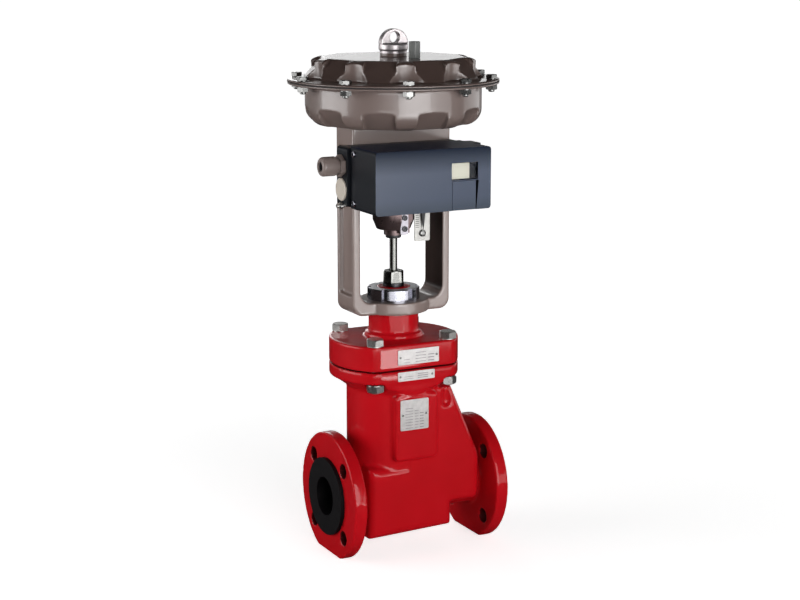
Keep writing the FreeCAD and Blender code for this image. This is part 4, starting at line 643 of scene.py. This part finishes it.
def flats(width, angle):
    """The distance from the centre to a hexagon's side, seen at that angle."""
    return (width / 2) / math.cos((angle + math.pi / 6) % (math.pi / 3) - math.pi / 6)


def flats_within(width, turn, limit=math.inf):
    """The radius of a ring that follows a turned hexagon and stays inside that limit."""
    return lambda angle: min(flats(width, angle + turn), limit)


def skin_of_rings(name, rings, sharp=24.0):
    """A closed piece on the Z axis. Each ring is (radius, level), where a radius can depend on the angle."""
    shell = bmesh.new()
    skin = []
    for radius, level in rings:
        ring = []
        for step in range(RING_STEPS):
            angle = 2 * math.pi * step / RING_STEPS
            reach = radius(angle) if callable(radius) else radius
            across, along = reach * math.cos(angle), reach * math.sin(angle)
            ring.append(shell.verts.new((across * MM, along * MM, level * MM)))
        skin.append(ring)
    for low, high in zip(skin, skin[1:]):
        for step in range(RING_STEPS):
            after = (step + 1) % RING_STEPS
            shell.faces.new((low[step], low[after], high[after], high[step]))
    shell.faces.new(skin[-1])
    shell.faces.new(skin[0][::-1])
    mesh = bpy.data.meshes.new(name)
    shell.to_mesh(mesh)
    shell.free()
    mesh.shade_smooth()
    mesh.set_sharp_from_angle(angle=math.radians(sharp))
    piece = bpy.data.objects.new(name, mesh)
    bpy.context.scene.collection.objects.link(piece)
    return piece


def domed_end(width, level, reach):
    """Rings of a stud's rounded end."""
    return [(width / 2, level), (width / 2, level + 0.55 * reach), (0.42 * width, level + 0.85 * reach),
            (0.22 * width, level + reach)]


def hexagon_head(name, width, height, washer, stud=0.0, stud_reach=0.0):
    """A hexagon of that width over its flats on a washer at z = 0, with a domed stud end if one is given."""
    corner = HEAD_CORNER * width
    base = HEAD_CHAMFER * width

    def side(level):
        return lambda angle: min(flats(width, angle), corner + (height - level) / CONE_SLOPE)

    rings = [(washer / 2, 0.0), (washer / 2, base), (side(0.0), base)]
    rings += [(side(level), level) for level in (height - share * base for share in (1, 0.75, 0.5, 0.25, 0))]
    if stud:
        rings += domed_end(stud, height, stud_reach)
    return skin_of_rings(name, rings)


def socket_head(name, width, height, socket, depth):
    """A round screw head with eased edges and a six-sided socket."""
    ease = 0.12 * height
    hollow = flats_within(socket, 0.0)
    return skin_of_rings(name, [
        (width / 2, 0.0), (width / 2, height - ease), (width / 2 - 0.3 * ease, height - 0.3 * ease),
        (width / 2 - ease, height), (hollow, height), (hollow, height - depth),
        (0.2 * socket, height - depth - 0.1 * socket)])


def slotted_head(name, width, height, slot):
    """A low domed screw head with one slot across it."""
    piece = skin_of_rings(name, [
        (width / 2, 0.0), (width / 2, 0.45 * height), (0.46 * width, 0.75 * height),
        (0.34 * width, 0.95 * height), (0.2 * width, height)], 40.0)
    for vertex in piece.data.vertices:
        if abs(vertex.co.y) < slot / 2 * MM and vertex.co.z > 0.7 * height * MM:
            vertex.co.z -= 0.4 * height * MM
    return piece


def rivet_head(name, width, height):
    """A round head whose rings climb by steps of angle."""
    rise = [math.radians(turn) for turn in (0, 30, 60, 80)]
    return skin_of_rings(name, [(width / 2 * math.cos(turn), height * math.sin(turn)) for turn in rise], 60.0)


# %% [markdown]
# Every head is made facing up, so it is turned to the side that it belongs to. Several pieces that take
# the place of one frame piece are joined, and a piece with two paints gets the second one face by face.

# %% Turning, joining and repainting
def facing(piece, direction):
    """Turns a piece from facing up to facing a horizontal or downward direction."""
    piece.data.transform(Vector(direction).to_track_quat("Z", "X").to_matrix().to_4x4())
    return piece


def as_one(name, pieces):
    """Several pieces as one, with the first one's finish."""
    shell = bmesh.new()
    for piece in pieces:
        shell.from_mesh(piece.data)
    mesh = bpy.data.meshes.new(name)
    shell.to_mesh(mesh)
    shell.free()
    mesh.materials.append(pieces[0].data.materials[0])
    whole = bpy.data.objects.new(name, mesh)
    bpy.context.scene.collection.objects.link(whole)
    for piece in pieces:
        bpy.data.objects.remove(piece)
    return whole


def repaint(piece, finish, chosen):
    """Gives a second finish to the faces whose centre and normal pass a test in millimetres from the axis."""
    piece.data.materials.append(finish)
    slot = len(piece.data.materials) - 1
    painted = 0
    for polygon in piece.data.polygons:
        if chosen((polygon.center - AXIS) / MM, polygon.normal):
            polygon.material_index = slot
            painted += 1
    print(piece.name, "has", painted, "faces in", finish.name)


# %% [markdown]
# One tree sets copies round a circle and one sets them along a row. Both end in the same nodes: an
# instance of the piece on every point, turned by a random amount up to the play with a fixed seed,
# made real and given its finish. The random node's sockets are told apart by number, because several
# of them have the same name.

# %% Trees that set copies round a circle or along a row
def new_tree(name, sockets):
    tree = bpy.data.node_groups.new(name, "GeometryNodeTree")
    for label, kind in sockets:
        tree.interface.new_socket(name=label, in_out="INPUT", socket_type=kind)
    tree.interface.new_socket(name="Geometry", in_out="OUTPUT", socket_type="NodeSocketGeometry")
    return tree, tree.nodes.new("NodeGroupInput"), tree.nodes.new("NodeGroupOutput")


def set_copies(tree, inputs, outputs, points):
    """The second half of both trees: a turned copy of the piece on every point, made real."""
    link = tree.links.new
    piece = tree.nodes.new("GeometryNodeObjectInfo")
    turn = tree.nodes.new("FunctionNodeRandomValue")
    turn.data_type = "FLOAT"
    spin = tree.nodes.new("ShaderNodeCombineXYZ")
    copies = tree.nodes.new("GeometryNodeInstanceOnPoints")
    real = tree.nodes.new("GeometryNodeRealizeInstances")
    coat = tree.nodes.new("GeometryNodeSetMaterial")
    link(inputs.outputs["Piece"], piece.inputs["Object"])
    link(inputs.outputs["Play"], turn.inputs[3])
    link(inputs.outputs["Seed"], turn.inputs["Seed"])
    turn.inputs[2].default_value = 0.0
    link(turn.outputs[1], spin.inputs["Z"])
    link(points, copies.inputs["Points"])
    link(piece.outputs["Geometry"], copies.inputs["Instance"])
    link(spin.outputs["Vector"], copies.inputs["Rotation"])
    link(copies.outputs["Instances"], real.inputs["Geometry"])
    link(real.outputs["Geometry"], coat.inputs["Geometry"])
    link(inputs.outputs["Finish"], coat.inputs["Material"])
    link(coat.outputs["Geometry"], outputs.inputs["Geometry"])


def circle_tree():
    tree, inputs, outputs = new_tree("pieces_round_a_circle", (
        ("Piece", "NodeSocketObject"), ("Count", "NodeSocketInt"), ("Radius", "NodeSocketFloat"),
        ("First angle", "NodeSocketFloat"), ("Centre", "NodeSocketVector"), ("Play", "NodeSocketFloat"),
        ("Seed", "NodeSocketInt"), ("Finish", "NodeSocketMaterial")))
    ring = tree.nodes.new("GeometryNodeMeshCircle")
    angle = tree.nodes.new("ShaderNodeCombineXYZ")
    move = tree.nodes.new("GeometryNodeTransform")
    tree.links.new(inputs.outputs["Count"], ring.inputs["Vertices"])
    tree.links.new(inputs.outputs["Radius"], ring.inputs["Radius"])
    tree.links.new(inputs.outputs["First angle"], angle.inputs["Z"])
    tree.links.new(ring.outputs["Mesh"], move.inputs["Geometry"])
    tree.links.new(angle.outputs["Vector"], move.inputs["Rotation"])
    tree.links.new(inputs.outputs["Centre"], move.inputs["Translation"])
    set_copies(tree, inputs, outputs, move.outputs["Geometry"])
    return tree


def row_tree():
    tree, inputs, outputs = new_tree("pieces_along_a_row", (
        ("Piece", "NodeSocketObject"), ("Count", "NodeSocketInt"), ("First", "NodeSocketVector"),
        ("Step", "NodeSocketVector"), ("Play", "NodeSocketFloat"), ("Seed", "NodeSocketInt"),
        ("Finish", "NodeSocketMaterial")))
    row = tree.nodes.new("GeometryNodeMeshLine")
    row.mode = "OFFSET"
    tree.links.new(inputs.outputs["Count"], row.inputs["Count"])
    tree.links.new(inputs.outputs["First"], row.inputs["Start Location"])
    tree.links.new(inputs.outputs["Step"], row.inputs["Offset"])
    set_copies(tree, inputs, outputs, row.outputs["Mesh"])
    return tree


CIRCLE = circle_tree()
ROW = row_tree()


def run_tree(tree, name, piece, finish, **values):
    """Runs a tree on an empty host with the inputs set by identifier, and returns the plain mesh."""
    host = bpy.data.objects.new("host", bpy.data.meshes.new("host"))
    bpy.context.scene.collection.objects.link(host)
    maker = host.modifiers.new("copies", "NODES")
    maker.node_group = tree
    wanted = {"Piece": piece, "Finish": finish, "Play": 0.0, "Seed": 1}
    wanted.update({key.replace("_", " "): value for key, value in values.items()})
    for item in tree.interface.items_tree:
        if item.in_out == "INPUT":
            maker[item.identifier] = wanted[item.name]
    result = settle(host, name, finish)
    bpy.data.objects.remove(piece)
    return result


# %% Screws and nuts of the diaphragm case
def round_the_axis(name, node, head, finish, first_angle, level, **values):
    """Copies of a head on a circle round the stem's axis take the place of the node's plain ones."""
    copies = run_tree(CIRCLE, name, head, finish, First_angle=first_angle, Centre=at(0, 0, level), **values)
    return stand_in(copies, node)


CASE_CIRCLE = {"Count": 10, "Radius": 247.2 / 2 * MM, "Play": 0.9}
CASE_HEXAGON, CASE_HEAD_HEIGHT, CASE_NUT_HEIGHT = 13.0, 5.3, 6.5
RIM_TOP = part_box("case_screws")[1].z / MM - CASE_HEAD_HEIGHT
RIM_BOTTOM = 600.4

head = hexagon_head("case_head", CASE_HEXAGON, CASE_HEAD_HEIGHT, washer=12.4)
round_the_axis("case_screw_heads", "case_screws", head, ZINC, 0.0, RIM_TOP, Seed=4, **CASE_CIRCLE)
nut = hexagon_head("case_nut", CASE_HEXAGON, CASE_NUT_HEIGHT, washer=13.4, stud=8.0, stud_reach=3.0)
round_the_axis("case_screw_nuts", "case_nuts", facing(nut, DOWN), ZINC, 0.0, RIM_BOTTOM, Seed=9,
               **CASE_CIRCLE)

# %% Screws and nuts of the bonnet
LID_CIRCLE = {"Count": 4, "Radius": 145.6 / 2 * MM, "Play": 0.8}
LID_HEXAGON, LID_HEAD_HEIGHT, LID_NUT_HEIGHT = 20.0, 9.5, 10.0
LID_TURN = math.radians(45)
LID_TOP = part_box("bonnet_screws")[1].z / MM - LID_HEAD_HEIGHT
LID_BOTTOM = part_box("bonnet_nuts")[1].z / MM

head = hexagon_head("bonnet_head", LID_HEXAGON, LID_HEAD_HEIGHT, washer=20.0)
round_the_axis("bonnet_screw_heads", "bonnet_screws", head, BRIGHT_ZINC, LID_TURN, LID_TOP, Seed=3,
               **LID_CIRCLE)
nut = hexagon_head("bonnet_nut", LID_HEXAGON, LID_NUT_HEIGHT, washer=20.0, stud=12.0, stud_reach=2.0)
round_the_axis("bonnet_screw_nuts", "bonnet_nuts", facing(nut, DOWN), BRIGHT_ZINC, LID_TURN, LID_BOTTOM,
               Seed=6, **LID_CIRCLE)

# %% Screws on the positioner, the strip and the scale
SCREW_WIDTH, SCREWS_IN_A_ROW, SOCKET_DEPTH = 7.0, 2, 0.6


def screw_row(name, node, direction, reach, socket, finish, seed):
    """Socket heads along the node's height, on its side in that direction."""
    low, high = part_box(node)
    start = (low + high) / 2
    if direction[0]:
        start.x = high.x - reach * MM if direction[0] > 0 else low.x + reach * MM
    else:
        start.y = high.y
    start.z = low.z + SCREW_WIDTH / 2 * MM
    step = Vector((0, 0, (high.z - low.z - SCREW_WIDTH * MM) / (SCREWS_IN_A_ROW - 1)))
    head = facing(socket_head(f"{name}_head", SCREW_WIDTH, reach, socket, SOCKET_DEPTH * reach), direction)
    return run_tree(ROW, name, head, finish, Count=SCREWS_IN_A_ROW, First=start, Step=step, Seed=seed)


cover_rows = [screw_row("left_cover_screws", "cover_screws", LEFT, 2.5, 3.4, BRIGHT_PLATE, 2),
              screw_row("right_cover_screws", "cover_screws", RIGHT, 2.5, 3.4, BRIGHT_PLATE, 3)]
stand_in(as_one("cover_screw_heads", cover_rows), "cover_screws")
stand_in(screw_row("strip_screw_heads", "strip_screws", FRONT, 2.4, 3.6, DARK_STEEL, 5), "strip_screws")

screw_low, screw_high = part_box("scale_screw")
seat = (screw_low + screw_high) / 2
seat.y = screw_high.y
head = facing(slotted_head("scale_screw_head", width=9.0, height=3.0, slot=1.6), FRONT)
head.data.transform(Matrix.Translation(seat))
head.data.materials.append(ZINC)
stand_in(head, "scale_screw")

# %% [markdown]
# The plates carry no words here. Rows of thin printed rules stand for their columns of small type, and
# each plate is held by two rivets. The same row tree sets the rivets, the rules and the graduations.

# %% Rivets and the generic rules on the plates
RIVET_WIDTH, RIVET_HEIGHT, RIVET_INSET = 3.0, 0.9, 3.5
UPPER_TAG, LOWER_TAG = (58.0, 19.5), (52.0, 12.0)
INK = 0.02
LINE_PITCH, LINE_MARGIN, LINE_FILL = 4.5, 3.0, 0.86


def face_of(node):
    """Left, lowest level, width, height and front of the node's box, in millimetres."""
    low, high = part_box(node)
    return low.x / MM, low.z / MM, (high.x - low.x) / MM, (high.z - low.z) / MM, low.y / MM


def rule(name, length, height):
    """A thin printed line that stands a little off its plate."""
    line = bpy.data.meshes.new(name)
    corners = ((-length, -height), (length, -height), (length, height), (-length, height))
    line.from_pydata([Vector((x / 2, -INK, z / 2)) * MM for x, z in corners], [], [(0, 1, 2, 3)])
    piece = bpy.data.objects.new(name, line)
    bpy.context.scene.collection.objects.link(piece)
    return piece


tags_left, tags_low, _, tags_height, tags_front = face_of("flange_tags")
PLATES = {"body": face_of("body_plate"),
          "upper": (tags_left, tags_low + tags_height - UPPER_TAG[1], *UPPER_TAG, tags_front),
          "lower": (tags_left, tags_low, *LOWER_TAG, tags_front)}
# Each column of rules is (start, share of the width, lines fewer than the plate has room for, thickness).
COLUMNS = {"body": ((0.0, 0.42, 1, 0.6), (0.50, 0.22, 2, 0.6), (0.78, 0.22, 3, 0.9)),
           "upper": ((0.02, 0.20, 2, 0.6), (0.40, 0.34, 0, 0.7), (0.80, 0.20, 1, 1.0)),
           "lower": ((0.05, 0.34, 1, 0.6), (0.55, 0.38, 0, 0.8))}
rivets, rules = [], []
for name, (left, low, width, height, front) in PLATES.items():
    rivet = facing(rivet_head("rivet", RIVET_WIDTH, RIVET_HEIGHT), FRONT)
    rivets.append(run_tree(ROW, f"{name}_rivets", rivet, ZINC, Count=2,
                           First=Vector((left + RIVET_INSET, front, low + height / 2)) * MM,
                           Step=Vector((width - 2 * RIVET_INSET, 0, 0)) * MM, Seed=7))
    lines = max(2, round(height / LINE_PITCH))
    clear = width - 4 * RIVET_INSET
    spacing = (height - 2 * LINE_MARGIN) / (lines - 1) * LINE_FILL
    for column, (start, share, fewer, thick) in enumerate(COLUMNS[name]):
        middle = left + 2 * RIVET_INSET + clear * (start + share / 2)
        rules.append(run_tree(ROW, f"{name}_rules_{column}", rule("rule", clear * share, thick), FAINT_INK,
                              Count=max(1, lines - fewer), Step=Vector((0, 0, spacing)) * MM,
                              First=Vector((middle, front, low + LINE_MARGIN)) * MM, Seed=8))
stand_in(as_one("plate_rivet_heads", rivets), "plate_rivets")
printed = as_one("plate_rules", rules)
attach(printed, body_of("body_plate"))
print("rules in", len(rules), "columns on", len(PLATES), "plates")

# %% Graduations of the travel scale
GRADUATIONS, GRADUATION_STEP, FIRST_GRADUATION = 13, 2.5, (4.0, 18.0)
scale_left, scale_low, _, _, scale_front = face_of("travel_scale")
first = Vector((scale_left + FIRST_GRADUATION[0], scale_front, scale_low + FIRST_GRADUATION[1])) * MM
ticks = run_tree(ROW, "scale_graduations", rule("tick", 5.0, 0.8), DARK_INK, Count=GRADUATIONS, First=first,
                 Step=Vector((0, 0, GRADUATION_STEP)) * MM)
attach(ticks, body_of("travel_scale"))
print("graduations", GRADUATIONS, "every", GRADUATION_STEP, "mm")

# %% [markdown]
# A finer grid keeps smaller corners but makes more triangles. The large body gets the coarsest one, so
# that it stays under 200 thousand triangles, and the small lifting eye gets the finest.

# %% Castings
# Each casting is (node, finish, grid in millimetres, rounds of easing).
CASTINGS = (("valve_body", RED_ENAMEL, 1.95, 6), ("bonnet", RED_ENAMEL, 1.3, 6),
            ("yoke", YOKE_ENAMEL, 1.4, 5), ("lower_case", TAUPE_ENAMEL, 1.5, 4),
            ("upper_case", UPPER_ENAMEL, 1.4, 4), ("lifting_eye", EYE_STEEL, 0.7, 3))
casts = {node: casting(node, finish, grid, easing) for node, finish, grid, easing in CASTINGS}

# %% Machined and moulded parts
# Each part is (node, finish, chamfer in millimetres).
MACHINED = (("body_liner", BLACK_LINER, 0.8), ("ring_nut", BRIGHT_PLATE, 0.6),
            ("valve_stem", STAINLESS, 0.4), ("lock_nut", DARK_INK, 0.4), ("stem_coupling", BROWN_PAINT, 0.5),
            ("pick_up_strip", STRIP_METAL, 0.2), ("travel_pointer", DARK_INK, 0.2),
            ("travel_scale", SCALE_METAL, 0.2),
            ("positioner_base", HOUSING_BLACK, 0.8), ("positioner_cover", HOUSING_BLUE, 0.9),
            ("key_flap", HOUSING_BLUE, 0.5), ("cable_gland", GLAND_PLASTIC, 0.5),
            ("gland_cap", GLAND_PLASTIC, 0.5), ("blind_plug", CREAM_PLASTIC, 0.5),
            ("air_block", HOUSING_BLACK, 0.8), ("positioner_bracket", BRACKET_PAINT, 0.5),
            ("body_plate", BARE_PLATE, 0.2), ("flange_tags", BARE_PLATE, 0.2))
parts = {node: machined(node, finish, chamfer) for node, finish, chamfer in MACHINED}

# %% [markdown]
# Some pieces carry a second finish: a turned face with painted light, painted shade, a dark red hole.
# Such an edge is sharp, so each face of the mesh is tested by its place and the way it looks.

# %% Second finishes
# The cover's sides and hollows are painted nearly black and its top navy, as painted shade beside its blue
# front.
COVER_FRONT, COVER_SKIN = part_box("positioner_cover")[0].y / MM, 2.4
COVER_TOP, TOP_SKIN = COVER_HEIGHTS[1] / MM, 3
ACROSS, TURNED_DEPTH = 0.75, 1.0
repaint(parts["positioner_cover"], HOUSING_BLACK,
        lambda centre, normal: abs(normal.x) > ACROSS or centre.y > COVER_FRONT + COVER_SKIN)
repaint(parts["positioner_cover"], COVER_TOP_SHADE,
        lambda centre, normal: normal.z > ACROSS and centre.z > COVER_TOP - TOP_SKIN)

# The ring nut's top is a turned face, painted much brighter than the nut's side as a painted highlight.
RING_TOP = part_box("ring_nut")[1].z / MM
repaint(parts["ring_nut"], TURNED_AND_LIT_FACE,
        lambda centre, normal: normal.z > 0.7 and centre.z > RING_TOP - TURNED_DEPTH)

# The insides of the drilled flange holes are painted dark red.
BOLT_CIRCLE, HOLE_WALL, LINER_FACE = 125.0, 9.7, 100.0
HOLE_REACH = BOLT_CIRCLE / 2 * math.sin(math.radians(45))
INLET_FLANGE_BACK, OUTLET_FLANGE_BACK = -76.0, 108.0
PIPE_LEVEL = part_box("body_liner")[0].z / MM + LINER_FACE / 2


def in_a_flange_hole(centre, normal):
    off = math.hypot(abs(centre.y) - HOLE_REACH, abs(centre.z - PIPE_LEVEL) - HOLE_REACH)
    in_a_flange = centre.x < INLET_FLANGE_BACK or centre.x > OUTLET_FLANGE_BACK
    return in_a_flange and off < HOLE_WALL and abs(normal.x) < 0.7


repaint(casts["valve_body"], HOLE_RED, in_a_flange_hole)

# The two faces of the body joint are bare of enamel, so that the gap between them reads dark.
JOINT_LEVEL, JOINT_EDGE, JOINT_GAP = 245.5, 1.0, 0.5
repaint(casts["valve_body"], HOLE_RED, lambda centre, normal: centre.z > JOINT_LEVEL - JOINT_EDGE)
repaint(casts["bonnet"], HOLE_RED, lambda centre, normal: centre.z < JOINT_LEVEL + JOINT_GAP + JOINT_EDGE)

# The lifting eye is painted up to a turned band, and the sides of its ring are bare.
EYE_COLLAR = 8.8
EYE_PAINTED_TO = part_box("lifting_eye")[0].z / MM + EYE_COLLAR
repaint(casts["lifting_eye"], TAUPE_ENAMEL, lambda centre, normal: centre.z < EYE_PAINTED_TO)

# %% [markdown]
# The gland nut and the vent have crisp flats that a remeshed skin would lose, so they are built ring by
# ring like the screw heads. Where a flat is cut by a cone, the ring is the smaller of the two.

# %% Gland nut and vent, with crisp flats
nut_low, nut_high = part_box("gland_nut")
GLAND_FLATS, GLAND_TURN, SKIRT_WIDTH, SKIRT_HEIGHT = 24.0, 0.65, 27.6, 5.0
GLAND_HEIGHT = (nut_high.z - nut_low.z) / MM
# The chamfer and the bore are rings of (radius, depth below the top).
GLAND_CHAMFER, GLAND_BORE = ((13.7, 1.6), (13.0, 0.7), (11.9, 0.0)), ((6.6, 0.0), (6.2, 1.5))
nut = skin_of_rings("gland_nut_hexagon", [
    (SKIRT_WIDTH / 2 - 0.4, 0.0), (SKIRT_WIDTH / 2, 0.4), (SKIRT_WIDTH / 2, SKIRT_HEIGHT - 0.8),
    (SKIRT_WIDTH / 2 - 0.8, SKIRT_HEIGHT), (flats_within(GLAND_FLATS, GLAND_TURN), SKIRT_HEIGHT),
    *((flats_within(GLAND_FLATS, GLAND_TURN, reach), GLAND_HEIGHT - depth) for reach, depth in GLAND_CHAMFER),
    *((reach, GLAND_HEIGHT - depth) for reach, depth in GLAND_BORE)])
nut.data.transform(Matrix.Translation(at(0, 0, nut_low.z / MM)))
nut.data.materials.append(STAINLESS)
stand_in(nut, "gland_nut")
repaint(nut, DARK_STEEL, lambda centre, normal: centre.z < nut_low.z / MM + SKIRT_HEIGHT - 0.2)

vent_low, vent_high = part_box("vent_plug")
VENT_FLATS, VENT_TURN, VENT_THREAD, VENT_FOOT, VENT_EASE = 13.4, 0.35, 9.8, 0.3, 0.6
CASE_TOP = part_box("upper_case")[1].z / MM
VENT_TOP = vent_high.z / MM - CASE_TOP
vent_middle = (vent_low + vent_high) / 2
vent_side = flats_within(VENT_FLATS, VENT_TURN)
vent = skin_of_rings("vent_hexagon", [
    (VENT_THREAD / 2, vent_low.z / MM - CASE_TOP), (VENT_THREAD / 2, VENT_FOOT), (vent_side, VENT_FOOT),
    (vent_side, VENT_TOP - VENT_EASE), (lambda angle: vent_side(angle) - VENT_EASE, VENT_TOP),
    (2.6, VENT_TOP), (2.6, VENT_TOP - 2.0)])
vent.data.transform(Matrix.Translation((vent_middle.x, vent_middle.y, CASE_TOP * MM)))
vent.data.materials.append(VENT_PLASTIC)
stand_in(vent, "vent_plug")

# %% [markdown]
# Three pieces are held at one end and pushed at the other: the bellows under the bonnet, the rubber
# diaphragm between the case halves, and the springs under the case's top. Each one gets a copy with
# its own mesh, which moves with the body of its frame piece.

# %% Pieces held at one end and pushed at the other
HELD_LEVELS = {"bellows": (241.5, WHITE_FLUOROPOLYMER), "diaphragm": (604.4, DIAPHRAGM_RUBBER),
               "springs": (628.5, SPRING_STEEL)}
for node, (held_level, finish) in HELD_LEVELS.items():
    piece = stand_in(settle(merged_copy(node), f"{node}_soft", finish), node)
    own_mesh(piece)

# %% [markdown]
# The other pieces are hidden, or so plain that their CAD shapes can stay. They only get a finish.

# %% Finishes of the frame pieces that stay
KEPT = {
    "display_window": PANE, "lcd_display": LCD,
    "guide_bush": BUSH_BRONZE, "actuator_bush": BUSH_BRONZE, "seat_ring": WHITE_FLUOROPOLYMER,
    "valve_plug": WHITE_FLUOROPOLYMER, "packing_rings": WHITE_FLUOROPOLYMER,
    "gland_follower": STAINLESS, "bellows_collar": STAINLESS, "actuator_seal": DIAPHRAGM_RUBBER,
    "actuator_stem": STAINLESS, "gland_seal": DIAPHRAGM_RUBBER, "earth_screw": BRIGHT_ZINC,
    "lever_shaft": STAINLESS, "lever_pin": STAINLESS, "flap_pin": STAINLESS,
    "left_key": HOUSING_BLACK, "middle_key": HOUSING_BLACK, "right_key": HOUSING_BLACK,
}

for node, piece in frame["nodes"].items():
    if not piece.hide_render:
        piece.data.materials.clear()
        piece.data.materials.append(KEPT.get(node, ZINC))
        print(node, "keeps its shape, in", piece.data.materials[0].name)

# The pane's edges are painted black, as painted shade in the window's recess.
repaint(frame["nodes"]["display_window"], HOUSING_BLACK, lambda centre, normal: abs(normal.y) < 0.5)
